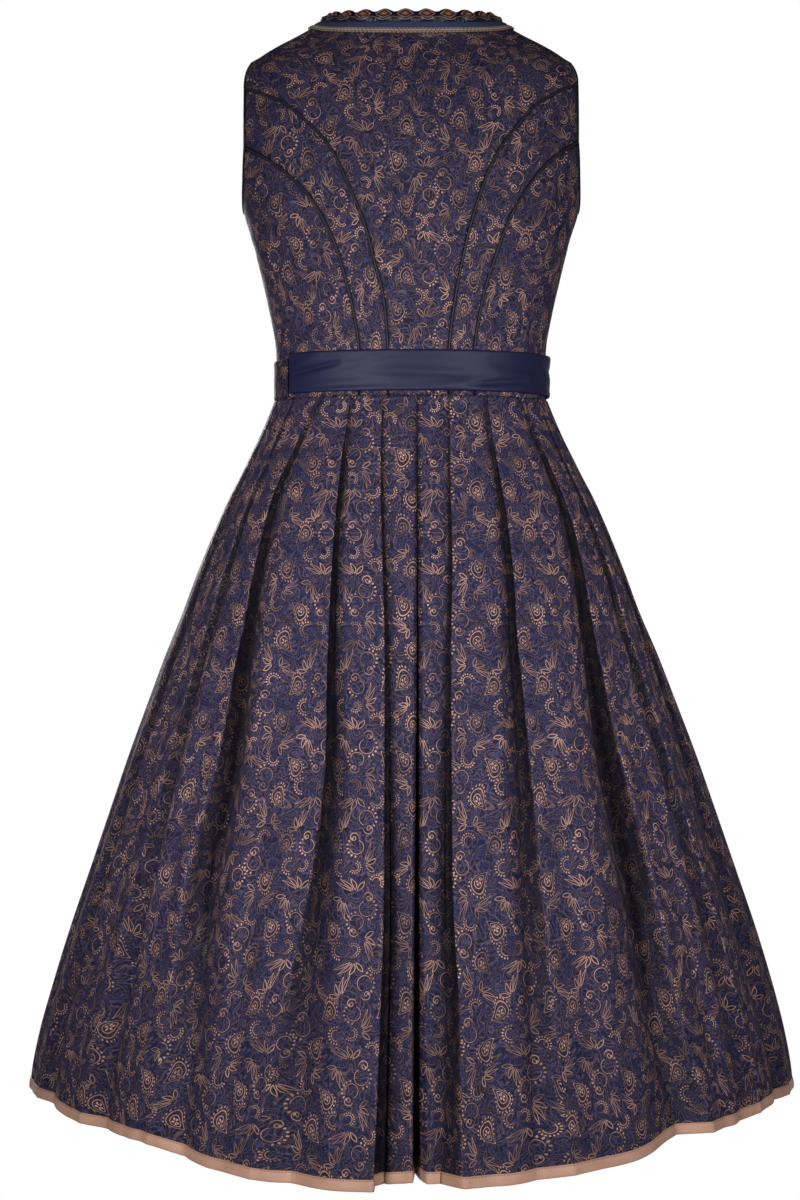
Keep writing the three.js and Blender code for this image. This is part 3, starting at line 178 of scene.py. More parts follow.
yoke_columns = {
    "side": [0, 0.2, 0.4, 0.6, 0.8, 1],
    "neck_x": [0, 30, 55, 73, 84, 88],
    "neck_y": [66, 63, 54, 38, 18, 0],
    "neck_z": [14, 14.5, 16, 19, 23, 26],
    "steep": [75, 72, 64, 50, 37, 29],
    "foot_x": [0, 56, 112, ARMHOLE_X, 164, 160],
}
SHOULDER_FOOT = np.array([164, 21, -28.0])
RIDGE_NECK = np.array([88, 0, 26.0])
RIDGE_FOOT = np.array([160, -2, -14.0])
FRONT_EDGE_X = 9.0
NECKLINE_ROW = 7
BUST_SEAM_TOP_ROW = 9
STRAP_BASE = 11
STRAP_ROWS = 4
STRAP_CREST_PULL = 34.0
front_rows = {
    "in_x": [0, 0, 0, 0, 0, 0, 0, 0, 42, 71, 85, 90],
    "in_z": [-354, -320, -285, -250, -220, -190, -160, -127, -123, -107, -80, -50],
    "out_x": [52, 54, 61, 71, 80, 87, 97, 113, 131, 146, 151, 155],
    "out_z": [-354, -320, -285, -251, -222, -194, -164, -134, -111, -95, -72, -48],
}


def smooth_curve(ats, values):
    """A cubic through (at, value) pairs whose slope at each pair is the weighted harmonic mean of
    the slopes beside it, and zero at a turning point, so that it never overshoots the pairs."""
    order = np.argsort(ats)
    xs = np.asarray(ats, float)[order]
    ys = np.asarray(values, float)[order]
    gap = np.diff(xs)
    slope = np.diff(ys) / gap
    before = 2 * gap[1:] + gap[:-1]
    after = gap[1:] + 2 * gap[:-1]
    same_way = slope[:-1] * slope[1:] > 0
    safe_low = np.where(same_way, slope[:-1], 1)
    safe_high = np.where(same_way, slope[1:], 1)
    inner = np.where(same_way, (before + after) / (before / safe_low + after / safe_high), 0)
    tangents = np.concatenate([[slope[0]], inner, [slope[-1]]])

    def value(at):
        """The curve's value at places along it; beyond its ends it stays level."""
        x = np.clip(at, xs[0], xs[-1])
        i = np.clip(np.searchsorted(xs, x, side="right") - 1, 0, len(gap) - 1)
        h = gap[i]
        s = (x - xs[i]) / h
        start = (1 + 2 * s) * (1 - s) ** 2 * ys[i] + h * s * (1 - s) ** 2 * tangents[i]
        return start + s * s * (3 - 2 * s) * ys[i + 1] - h * s * s * (1 - s) * tangents[i + 1]

    return value


def mix(a, b, share):
    """The value that lies at a share of the way from a to b."""
    return a + (b - a) * share


def signed_power(value, power):
    """The magnitude raised to a power, with its sign kept."""
    return np.sign(value) * np.abs(value) ** power


body_half, body_back, body_front, body_power = (
    smooth_curve(body_sections["z"], body_sections[key]) for key in ("half", "back", "front", "power"))


def body_point(turn, z):
    """A point of the bodice: a superellipse of the section's half width and depth at height z,
    at a turn in degrees from the middle of the back, less a Gaussian cup on the front."""
    turn, z = np.broadcast_arrays(np.asarray(turn, float), np.asarray(z, float))
    bend = 2 / body_power(z)
    across = signed_power(np.sin(np.radians(turn)), bend)
    along = signed_power(np.cos(np.radians(turn)), bend)
    x = body_half(z) * across
    y = np.where(along >= 0, body_back(z), body_front(z)) * along
    from_cup = ((np.abs(x) - BUST["x"]) / BUST["wide"]) ** 2 + ((z - BUST["z"]) / BUST["tall"]) ** 2
    cup = BUST["out"] * np.exp(-from_cup) * np.clip(-along, 0, 1)
    return np.stack([x, y - cup, z], axis=-1)


def body_turn(x, z, on_front=False):
    """The turn at which the section at height z has the half width x."""
    share = np.clip(np.abs(x) / body_half(z), 0, 1)
    turn = np.degrees(np.arcsin(share ** (body_power(z) / 2)))
    from_middle = 180 - turn if on_front else turn
    return np.where(np.asarray(x) < 0, -from_middle, from_middle)


def on_body(x, z, on_front=False):
    """The point of the bodice at a place given by x and z, on its back or front."""
    return body_point(body_turn(x, z, on_front), z)


def seam_walk(points):
    """A uniform Catmull-Rom curve through the seam's points, walked by its own length."""
    knots = np.stack([points["x"], points["z"]], axis=1).astype(float)
    padded = np.concatenate([knots[:1], knots, knots[-1:]])
    place = np.linspace(0, len(knots) - 1, 1200)
    i = np.clip(place.astype(int), 0, len(knots) - 2)
    t = (place - i)[:, None]
    p0, p1, p2, p3 = (padded[i + k] for k in range(4))
    pull_1 = (p2 - p0) / 2
    pull_2 = (p3 - p1) / 2
    fine = ((2 * p1 - 2 * p2 + pull_1 + pull_2) * t ** 3
            + (-3 * p1 + 3 * p2 - 2 * pull_1 - pull_2) * t ** 2 + pull_1 * t + p1)
    length = np.concatenate([[0], np.cumsum(np.hypot(*np.diff(fine, axis=0).T))])
    length /= length[-1]

    def walk(share):
        """The seam's x and z at shares of its length."""
        return np.interp(share, length, fine[:, 0]), np.interp(share, length, fine[:, 1])

    return walk


seams = {name: seam_walk(points) for name, points in back_seams.items()}
yoke = {key: smooth_curve(yoke_columns["side"], values) for key, values in yoke_columns.items()}


def unit(vectors):
    """Vectors scaled to length one."""
    return vectors / np.maximum(np.linalg.norm(vectors, axis=-1, keepdims=True), 1e-12)


def bezier(a, b, c, d, share):
    """A cubic Bezier curve from a to d at a share of its parameter."""
    s = np.asarray(share)[..., None]
    return (1 - s) ** 3 * a + 3 * (1 - s) ** 2 * s * b + 3 * (1 - s) * s * s * c + s ** 3 * d


def yoke_foot(side):
    """The lower end of a yoke line: on the yoke's foot line out to the armhole corner, and past
    it on a quadratic curve up the armhole to the shoulder ridge."""
    share = np.abs(side)
    hand = np.where(side < 0, -1.0, 1.0)
    x = hand * yoke["foot_x"](np.minimum(share, YOKE_CORNER))
    z = mix(YOKE_RIGHT_Z, YOKE_LEFT_Z, (x + ARMHOLE_X) / (2 * ARMHOLE_X))
    corner = on_body(x, z)
    part = np.clip((share - YOKE_CORNER) / (1 - YOKE_CORNER), 0, 1)[..., None]
    sign = np.stack([hand, np.ones_like(hand), np.ones_like(hand)], axis=-1)
    bulge_x = 2 * SHOULDER_FOOT[0] - (ARMHOLE_X + RIDGE_FOOT[0]) / 2
    bulge = sign * np.array([bulge_x, *SHOULDER_FOOT[1:]])
    end = sign * RIDGE_FOOT
    return (1 - part) ** 2 * corner + 2 * (1 - part) * part * bulge + part ** 2 * end


def yoke_point(side, down):
    """A point of the back yoke: a cubic curve from the neck edge at down 0, leaving at its own
    steepness, to the yoke's foot at down 1, where it follows the body upwards."""
    side, down = np.broadcast_arrays(np.asarray(side, float), np.asarray(down, float))
    share = np.abs(side)
    hand = np.where(side < 0, -1.0, 1.0)
    neck_x = hand * yoke["neck_x"](share)
    neck = np.stack([neck_x, yoke["neck_y"](share), yoke["neck_z"](share)], axis=-1)
    foot = yoke_foot(side)
    reach = np.linalg.norm(foot - neck, axis=-1, keepdims=True) * YOKE_BLEND
    steep = np.radians(yoke["steep"](share))[..., None]
    level = foot - neck
    level[..., 1] = np.maximum(level[..., 1], 0)
    level[..., 2] = 0
    leaving = unit(level) * np.cos(steep) - np.array([0, 0, 1]) * np.sin(steep)
    turn = body_turn(foot[..., 0], foot[..., 2])
    rise = unit(body_point(turn, foot[..., 2] + 1) - body_point(turn, foot[..., 2]))
    ridgeward = np.clip((share - YOKE_CORNER) / (1 - YOKE_CORNER), 0, 1)[..., None]
    straight = unit(neck - foot)
    arriving = unit(mix(rise, straight, ridgeward))
    leaving = np.where(share[..., None] > 0.999, -straight, leaving)
    return bezier(neck, neck + leaving * reach, foot + arriving * reach, foot, down)


front_edge = {key: smooth_curve(range(len(values)), values) for key, values in front_rows.items()}


def front_place(hand, out, row):
    """The place (x, z) on a front centre panel: from its inner edge at out 0, the front edge and
    then the neckline, to its outer edge at out 1, the bust seam and then the armhole."""
    closing = FRONT_EDGE_X * np.clip(1 - (row - NECKLINE_ROW), 0, 1)
    in_x = front_edge["in_x"](row)
    inner = np.maximum(in_x, closing) if hand > 0 else in_x - closing
    x = hand * mix(inner, front_edge["out_x"](row), out)
    return x, mix(front_edge["in_z"](row), front_edge["out_z"](row), out)


def front_point(hand, out, row):
    """A point of a front centre panel: on the body up to the strap's base, and above it on a
    cubic curve over the chest to the shoulder ridge."""
    out, row = np.broadcast_arrays(np.asarray(out, float), np.asarray(row, float))
    x, z = front_place(hand, out, np.minimum(row, STRAP_BASE))
    turn = body_turn(x, z, True)
    start = body_point(turn, z)
    up = unit(body_point(turn, z + 1) - start)
    end = mix(RIDGE_NECK, RIDGE_FOOT, out[..., None]) * np.array([hand, 1, 1])
    pull = np.linalg.norm(end - start, axis=-1, keepdims=True) / 3
    crest = end - np.array([0, STRAP_CREST_PULL, 0])
    over = bezier(start, start + up * pull, crest, end, np.clip((row - STRAP_BASE) / STRAP_ROWS, 0, 1))
    return np.where((row > STRAP_BASE)[..., None], over, start)


def grid_normals(points):
    """Unit normals of a grid of points, from the differences along its rows and columns, turned
    away from the upright axis of the dress."""
    normals = unit(np.cross(np.gradient(points, axis=1), np.gradient(points, axis=0)))
    away = points * np.array([1, 1, 0])
    facing = np.sign(np.sum(normals * away))
    return normals * (facing if facing else 1)


def creased(points, creases, flat=None):
    """Points moved along their normals by soft creases. Each crease runs from one place to
    another, and its trough or ridge has a Gaussian section and dies away at both ends."""
    place = points[..., [0, 2]] if flat is None else flat
    total = np.zeros(points.shape[:-1])
    for x0, z0, x1, z1, width, height in creases:
        start = np.array([x0, z0], float)
        run = np.array([x1 - x0, z1 - z0], float)
        along = np.sum((place - start) * run, axis=-1) / np.sum(run * run)
        nearest = start + np.clip(along, 0, 1)[..., None] * run
        distance = np.linalg.norm(place - nearest, axis=-1)
        fade = np.sin(np.pi * np.clip(along * 0.86 + 0.07, 0, 1)) ** 0.8
        total += height * fade * np.exp(-((distance / width) ** 2))
    return points + grid_normals(points) * total[..., None]


def edged(count, pull=0.75):
    """Shares from 0 to 1 that lie closer together near both ends."""
    even = np.linspace(0, 1, count)
    return mix(even, (1 - np.cos(np.pi * even)) / 2, pull)


# Cloth pieces
# Every cloth piece is a shell on its form: a grid of points worked out above, given its thickness
# inwards. Its cloth map holds the place on the cut cloth in millimetres, so that the weave and
# the pattern follow the grain.
CLOTH_MM = 1.2


def quads(grid):
    """The four corners of each cell of a grid, in order round it."""
    return np.stack([grid[:-1, :-1], grid[:-1, 1:], grid[1:, 1:], grid[1:, :-1]], axis=2)


def cloth_mesh(name, grids, material):
    """A mesh from grids, each given as its points, its cloth map and, if it has seams or folds,
    its painted shade: how far each point lies in one, from 0 to 1. Grids share their edges, but
    each has its own map, so that the pattern jumps at a fold."""
    vertices = []
    faces = []
    maps = []
    shades = []
    base = 0
    for grid in grids:
        points = grid[0]
        grid_map = grid[1]
        shades.append(grid[2].ravel() if len(grid) > 2 else np.zeros(points[..., 0].size))
        rows, columns = points.shape[:2]
        index = np.arange(rows * columns).reshape(rows, columns) + base
        corners = quads(index)
        uv = quads(grid_map)
        normals = unit(np.cross(points[1:, 1:] - points[:-1, :-1], points[1:, :-1] - points[:-1, 1:]))
        out = np.sum(normals * grid_normals(points)[:-1, :-1])
        if out < 0:
            corners = corners[:, :, ::-1]
            uv = uv[:, :, ::-1]
        vertices.append(points.reshape(-1, 3) * MM)
        faces.append(corners.reshape(-1, 4))
        maps.append(uv.reshape(-1, 2))
        base += rows * columns
    mesh = bpy.data.meshes.new(name)
    mesh.from_pydata(np.concatenate(vertices), [], np.concatenate(faces))
    layer = mesh.uv_layers.new(name="cloth")
    layer.data.foreach_set("uv", np.concatenate(maps).astype(np.float32).ravel())
    # Painted shade: how far each point lies in a seam or fold, which the material turns into darker
    # colour.
    hollow = mesh.attributes.new("fold_shade", "FLOAT", "POINT")
    hollow.data.foreach_set("value", np.concatenate(shades).astype(np.float32))
    if len(grids) > 1:
        joined = bmesh.new()
        joined.from_mesh(mesh)
        bmesh.ops.remove_doubles(joined, verts=joined.verts, dist=1e-5)
        joined.to_mesh(mesh)
        joined.free()
    mesh.polygons.foreach_set("use_smooth", np.ones(len(mesh.polygons), bool))
    mesh.materials.append(material)
    return mesh


def place_piece(name, mesh, nodes):
    """A mesh as a piece of the dress, which rides on its only body and stands for CAD nodes."""
    piece = bpy.data.objects.new(name, mesh)
    bpy.context.collection.objects.link(piece)
    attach(piece, "root")
    if nodes:
        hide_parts(*nodes)
    return piece


def thicken(piece, thickness):
    """Gives a shell its thickness inwards."""
    wall = piece.modifiers.new("thickness", "SOLIDIFY")
    wall.thickness = thickness * MM
    wall.offset = -1
    wall.use_even_offset = False


def cloth_piece(name, grids, material, nodes, thickness=CLOTH_MM):
    """A cloth shell with its thickness."""
    piece = place_piece(name, cloth_mesh(name, grids, material), nodes)
    thicken(piece, thickness)


# Jacquard cloth
# A navy satin ground with copper figures woven in thin lines: paisleys, curls over open rings, fans
# of leaves and strings of beads, mirrored by columns and turned over by rows, so that they repeat
# every 130 by 142 mm. Between them run finer scrolls, blue on blue and dull copper.
REPEAT_WIDE = 56.0
REPEAT_TALL = 61.0
LINE_EDGE = 0.7
LINE_FADE = 1.3
SCROLL_LINES = 11.0
# Almost black: the painted shade in fold hollows and beside seams.
FOLD_PAINTED_SHADE = (0.0006, 0.0006, 0.001, 1)
FIGURE_INPUTS = [("Across", "Float"), ("Up", "Float"), ("Size", "Float")]
figures = [
    {"kind": "paisley", "x": 13.4, "y": 9.8, "turn": 62, "size": 11.5},
    {"kind": "paisley", "x": 2.9, "y": 35.7, "turn": 236, "size": 10.5},
    {"kind": "curl", "x": 29.3, "y": 24.1, "turn": 5, "size": 4.1},
    {"kind": "curl", "x": 39.6, "y": 8.3, "turn": 190, "size": 3.7},
    {"kind": "fan", "x": 41.6, "y": 38.2, "turn": 75, "size": 13},
    {"kind": "fan", "x": 50.4, "y": 22.5, "turn": -60, "size": 12.5},
    {"kind": "fan", "x": 27.7, "y": 56.8, "turn": 160, "size": 12.5},
    {"kind": "fan", "x": 12.7, "y": 51.3, "turn": 20, "size": 11.5},
    {"kind": "beads", "x": 51.1, "y": 50.5, "turn": 0, "size": 6.4},
    {"kind": "beads", "x": 22.5, "y": 40.6, "turn": 120, "size": 5.8},
    {"kind": "beads", "x": 39.9, "y": 51.8, "turn": 215, "size": 4.9},
]


def new_group(name, inputs, outputs):
    """An empty shader node group with named sockets of kind Float or Vector."""
    tree = bpy.data.node_groups.new(name, "ShaderNodeTree")
    for label, kind in inputs:
        tree.interface.new_socket(label, in_out="INPUT", socket_type="NodeSocket" + kind)
    for label, kind in outputs:
        tree.interface.new_socket(label, in_out="OUTPUT", socket_type="NodeSocket" + kind)
    given = tree.nodes.new("NodeGroupInput")
    result = tree.nodes.new("NodeGroupOutput")
    return tree, given.outputs, result.inputs


def feed(tree, socket, value):
    """Links a socket to another, or sets it to a number or colour."""
    if isinstance(value, bpy.types.NodeSocket):
        tree.links.new(value, socket)
    elif value is not None:
        socket.default_value = value


def calc(tree, operation, a, b=None, c=None, clamp=False):
    """A Math node on sockets or numbers; gives its output."""
    node = tree.nodes.new("ShaderNodeMath")
    node.operation = operation
    node.use_clamp = clamp
    for socket, value in zip(node.inputs, (a, b, c)):
        feed(tree, socket, value)
    return node.outputs[0]


def use_group(tree, group, values):
    """A placed node group with its inputs fed by name; gives its outputs."""
    node = tree.nodes.new("ShaderNodeGroup")
    node.node_tree = group
    for label, value in values.items():
        feed(tree, node.inputs[label], value)
    return node.outputs


def along_and_up(tree, cloth_map):
    """The two parts of a place on the cloth map."""
    split = tree.nodes.new("ShaderNodeSeparateXYZ")
    tree.links.new(cloth_map, split.inputs[0])
    return split.outputs["X"], split.outputs["Y"]


def figure_line(tree, distance, width):
    """A line of a figure, from the distance to its middle: 0.7 at its edge, more inside, and
    fading over 0.9 mm outside, so that one mask gives the line and a dark rim of painted shade
    beside it."""
    inside = calc(tree, "SUBTRACT", width / 2, calc(tree, "ABSOLUTE", distance))
    return calc(tree, "MULTIPLY_ADD", inside, 1 / LINE_FADE, LINE_EDGE, clamp=True)


def figure_place_group():
    """Where a point of the cloth lies on a figure: the cloth is wrapped to the nearest copy of
    the figure on a half-drop lattice, mirrored in every second column and turned over in every
    second row, turned, and measured in the figure's own size."""
    tree, given, result = new_group(
        "figure_place",
        [("Cloth", "Vector"), ("X", "Float"), ("Y", "Float"), ("Turn", "Float"), ("Size", "Float")],
        [("Across", "Float"), ("Up", "Float")])
    along, up = along_and_up(tree, given["Cloth"])
    x = calc(tree, "SUBTRACT", along, given["X"])
    y = calc(tree, "SUBTRACT", up, given["Y"])
    column = calc(tree, "ROUND", calc(tree, "DIVIDE", x, REPEAT_WIDE))
    x = calc(tree, "MULTIPLY_ADD", column, -REPEAT_WIDE, x)
    y = calc(tree, "MULTIPLY_ADD", column, -REPEAT_TALL / 2, y)
    row = calc(tree, "ROUND", calc(tree, "DIVIDE", y, REPEAT_TALL))
    y = calc(tree, "MULTIPLY_ADD", row, -REPEAT_TALL, y)
    mirror = calc(tree, "COSINE", calc(tree, "MULTIPLY", column, math.pi))
    turned = calc(tree, "COSINE", calc(tree, "MULTIPLY", row, math.pi))
    x = calc(tree, "MULTIPLY", x, mirror)
    y = calc(tree, "MULTIPLY", y, turned)
    cosine = calc(tree, "DIVIDE", calc(tree, "COSINE", given["Turn"]), given["Size"])
    sine = calc(tree, "DIVIDE", calc(tree, "SINE", given["Turn"]), given["Size"])
    across = calc(tree, "MULTIPLY_ADD", y, sine, calc(tree, "MULTIPLY", x, cosine))
    up = calc(tree, "SUBTRACT", calc(tree, "MULTIPLY", y, cosine), calc(tree, "MULTIPLY", x, sine))
    tree.links.new(across, result["Across"])
    tree.links.new(up, result["Up"])
    return tree


def polar(tree, x, y):
    """The distance from the origin, and the turn about it as a share of a full turn."""
    radius = calc(tree, "SQRT", calc(tree, "MULTIPLY_ADD", x, x, calc(tree, "MULTIPLY", y, y)))
    return radius, calc(tree, "DIVIDE", calc(tree, "ARCTAN2", y, x), 2 * math.pi)


def bead_row(tree, turn, count, from_row, half, fat):
    """A row of beads round a circle, as a mask like a figure line's: 0.7 where the squared
    offsets along and across the row, in shares of a bead, sum to one, and more inside."""
    beat = calc(tree, "FRACT", calc(tree, "MULTIPLY", turn, count))
    beside = calc(tree, "DIVIDE", calc(tree, "SUBTRACT", beat, 0.5), fat / 2)
    across = calc(tree, "DIVIDE", from_row, half)
    square = calc(tree, "MULTIPLY_ADD", beside, beside, calc(tree, "MULTIPLY", across, across))
    return calc(tree, "MULTIPLY_ADD", calc(tree, "SUBTRACT", 1.0, square), 0.5, LINE_EDGE, clamp=True)


def paisley_group():
    """A bent drop with two outlines, a row of dots inside and a fringe of beads round its wide
    end: the level lines of the distance from the middle, after the bend and the taper."""
    tree, given, result = new_group("paisley", FIGURE_INPUTS, [("Mask", "Float")])
    x = given["Across"]
    bent = calc(tree, "MULTIPLY_ADD", calc(tree, "MULTIPLY", x, x), 0.38, given["Up"])
    taper = calc(tree, "MAXIMUM", calc(tree, "MULTIPLY_ADD", x, -0.46, 0.56), 0.12)
    y = calc(tree, "DIVIDE", calc(tree, "SUBTRACT", bent, 0.08), taper)
    radius, turn = polar(tree, x, y)
    narrow = calc(tree, "MULTIPLY", given["Size"], 0.62)
    from_outer = calc(tree, "MULTIPLY", calc(tree, "SUBTRACT", radius, 0.76), narrow)
    from_inner = calc(tree, "MULTIPLY", calc(tree, "SUBTRACT", radius, 0.46), narrow)
    outer = figure_line(tree, from_outer, 0.43)
    inner = figure_line(tree, from_inner, 0.36)
    fringe = bead_row(tree, turn, 21, calc(tree, "SUBTRACT", radius, 0.95), 0.06, 0.45)
    wide_end = calc(tree, "LESS_THAN", x, 0.35)
    dots = bead_row(tree, turn, 5, calc(tree, "SUBTRACT", radius, 0.2), 0.13, 0.55)
    lines = calc(tree, "MAXIMUM", outer, inner)
    beads = calc(tree, "MAXIMUM", calc(tree, "MULTIPLY", fringe, wide_end), dots)
    tree.links.new(calc(tree, "MAXIMUM", lines, beads), result["Mask"])
    return tree


def curl_group():
    """A spiral curl over an open ring: the spiral is where the radius less the turn, in windings,
    is a whole number and a half, and the ring is a circle about a lower middle."""
    tree, given, result = new_group("curl", FIGURE_INPUTS, [("Mask", "Float")])
    up = calc(tree, "SUBTRACT", given["Up"], 1.2)
    radius, turn = polar(tree, given["Across"], up)
    winding = calc(tree, "FRACT", calc(tree, "MULTIPLY_ADD", radius, 1.4, turn))
    gap = calc(tree, "MULTIPLY", calc(tree, "SUBTRACT", winding, 0.5), given["Size"])
    spiral = figure_line(tree, calc(tree, "DIVIDE", gap, 1.4), 0.53)
    spiral = calc(tree, "MULTIPLY", spiral, calc(tree, "LESS_THAN", radius, 1.05))
    ring_radius, ring_turn = polar(
        tree, calc(tree, "ADD", given["Across"], -0.25), calc(tree, "ADD", given["Up"], 0.8))
    from_ring = calc(tree, "MULTIPLY", calc(tree, "SUBTRACT", ring_radius, 1.4), given["Size"])
    ring = figure_line(tree, from_ring, 0.43)
    open_top = calc(tree, "LESS_THAN", ring_turn, 0.17)
    dashes = bead_row(tree, ring_turn, 15, calc(tree, "SUBTRACT", ring_radius, 1.95), 0.24, 0.42)
    left_side = calc(tree, "GREATER_THAN", calc(tree, "ABSOLUTE", ring_turn), 0.27)
    parts = calc(tree, "MAXIMUM", calc(tree, "MULTIPLY", ring, open_top),
                 calc(tree, "MULTIPLY", dashes, left_side))
    tree.links.new(calc(tree, "MAXIMUM", spiral, parts), result["Mask"])
    return tree


def fan_group():
    """A fan of slender leaves: the turn about the fan's root is folded into equal sectors, and
    each leaf is the outline of a lens along its sector, with a vein."""
    tree, given, result = new_group("fan", FIGURE_INPUTS, [("Mask", "Float")])
    root = calc(tree, "ADD", given["Across"], 0.5)
    bent = calc(tree, "MULTIPLY_ADD", calc(tree, "MULTIPLY", root, root), 0.62, given["Up"])
    radius, turn = polar(tree, root, bent)
    leaf_place = calc(tree, "FRACT", calc(tree, "MULTIPLY_ADD", turn, 12.0, 0.5))
    sector = calc(tree, "SUBTRACT", leaf_place, 0.5)
    arc = calc(tree, "MULTIPLY", radius, math.pi / 6)
    beside = calc(tree, "MULTIPLY", calc(tree, "ABSOLUTE", sector), arc)
    along = calc(tree, "MULTIPLY", calc(tree, "SUBTRACT", radius, 0.22), math.pi / 0.8)
    belly = calc(tree, "MULTIPLY", calc(tree, "SINE", along), 0.1)
    side = calc(tree, "MULTIPLY", calc(tree, "SUBTRACT", beside, belly), given["Size"])
    leaf = figure_line(tree, side, 0.47)
    inner = calc(tree, "GREATER_THAN", radius, 0.22)
    within = calc(tree, "MULTIPLY", inner, calc(tree, "LESS_THAN", radius, 1.02))
    spread = calc(tree, "LESS_THAN", calc(tree, "ABSOLUTE", calc(tree, "ADD", turn, -0.0417)), 0.1667)
    tree.links.new(calc(tree, "MULTIPLY", leaf, calc(tree, "MULTIPLY", within, spread)), result["Mask"])
    return tree


def beads_group():
    """A string of beads on an arc beside a thin line."""
    tree, given, result = new_group("beads", FIGURE_INPUTS, [("Mask", "Float")])
    radius, turn = polar(tree, given["Across"], given["Up"])
    beads = bead_row(tree, turn, 17, calc(tree, "SUBTRACT", radius, 0.95), 0.13, 0.5)
    from_line = calc(tree, "MULTIPLY", calc(tree, "SUBTRACT", radius, 0.62), given["Size"])
    line = figure_line(tree, from_line, 0.52)
    drawn = calc(tree, "LESS_THAN", calc(tree, "ABSOLUTE", turn), 0.29)
    tree.links.new(calc(tree, "MULTIPLY", calc(tree, "MAXIMUM", beads, line), drawn), result["Mask"])
    return tree


def figure_group():
    """All figures of the repeat as one mask."""
    tree, given, result = new_group("copper_figure", [("Cloth", "Vector")], [("Mask", "Float")])
    place = figure_place_group()
    shapes = {
        "paisley": paisley_group(), "curl": curl_group(), "fan": fan_group(), "beads": beads_group()}
    total = None
    for figure in figures:
        at = use_group(tree, place, {
            "Cloth": given["Cloth"], "X": figure["x"], "Y": figure["y"],
            "Turn": math.radians(figure["turn"]), "Size": figure["size"]})
        mask = use_group(tree, shapes[figure["kind"]], {
            "Across": at["Across"], "Up": at["Up"], "Size": figure["size"]})["Mask"]
        total = mask if total is None else calc(tree, "MAXIMUM", total, mask)
    tree.links.new(total, result["Mask"])
    return tree


def weave_group():
    """The satin ground's fine diagonal floats as a height, and slow changes of its colour."""
    tree, given, result = new_group(
        "satin_weave", [("Cloth", "Vector"), ("Pitch", "Float")],
        [("Height", "Float"), ("Cloud", "Float")])
    along, up = along_and_up(tree, given["Cloth"])
    diagonal = calc(tree, "MULTIPLY_ADD", up, 0.5, along)
    beat = calc(tree, "MULTIPLY", calc(tree, "DIVIDE", diagonal, given["Pitch"]), 2 * math.pi)
    cross = calc(tree, "MULTIPLY", calc(tree, "DIVIDE", up, given["Pitch"]), 2 * math.pi)
    height = calc(tree, "MULTIPLY_ADD", calc(tree, "SINE", cross), 0.6, calc(tree, "SINE", beat))
    cloud = tree.nodes.new("ShaderNodeTexNoise")
    cloud.inputs["Scale"].default_value = 0.033
    cloud.inputs["Detail"].default_value = 4
    tree.links.new(given["Cloth"], cloud.inputs["Vector"])
    tree.links.new(height, result["Height"])
    tree.links.new(cloud.outputs["Fac"], result["Cloud"])
    return tree


def new_material(name, roughness):
    """A cloth material with the cloth map as its coordinates; gives it, its tree, shader and map."""
    material = bpy.data.materials.new(name)
    material.use_nodes = True
    tree = material.node_tree
    shader = tree.nodes["Principled BSDF"]
    shader.inputs["Roughness"].default_value = roughness
    cloth_map = tree.nodes.new("ShaderNodeUVMap")
    cloth_map.uv_map = "cloth"
    return material, tree, shader, cloth_map.outputs["UV"]


def blend_colours(tree, share, first, second):
    """The first colour where share is 0, and the second where it is 1."""
    node = tree.nodes.new("ShaderNodeMix")
    node.data_type = "RGBA"
    feed(tree, node.inputs["Factor"], share)
    feed(tree, node.inputs["A"], first)
    feed(tree, node.inputs["B"], second)
    return node.outputs["Result"]


def add_bump(tree, shader, height, distance, strength):
    """Lays a height on the shader's normal, with its distance in millimetres."""
    bump = tree.nodes.new("ShaderNodeBump")
    bump.inputs["Distance"].default_value = distance * MM
    bump.inputs["Strength"].default_value = strength
    tree.links.new(height, bump.inputs["Height"])
    tree.links.new(bump.outputs["Normal"], shader.inputs["Normal"])


satin_weave = weave_group()
copper_figure = figure_group()


def scroll_lines(tree, cloth_map, scale, width):
    """Thin winding lines: the level lines of a soft noise, SCROLL_LINES of them per unit of it."""
    noise = tree.nodes.new("ShaderNodeTexNoise")
    noise.inputs["Scale"].default_value = scale
    noise.inputs["Detail"].default_value = 1
    noise.inputs["Distortion"].default_value = 0.7
    tree.links.new(cloth_map, noise.inputs["Vector"])
    level = calc(tree, "FRACT", calc(tree, "MULTIPLY", noise.outputs["Fac"], SCROLL_LINES))
    off = calc(tree, "ABSOLUTE", calc(tree, "SUBTRACT", level, 0.5))
    return calc(tree, "MULTIPLY_ADD", off, -1 / width, 1.0, clamp=True)


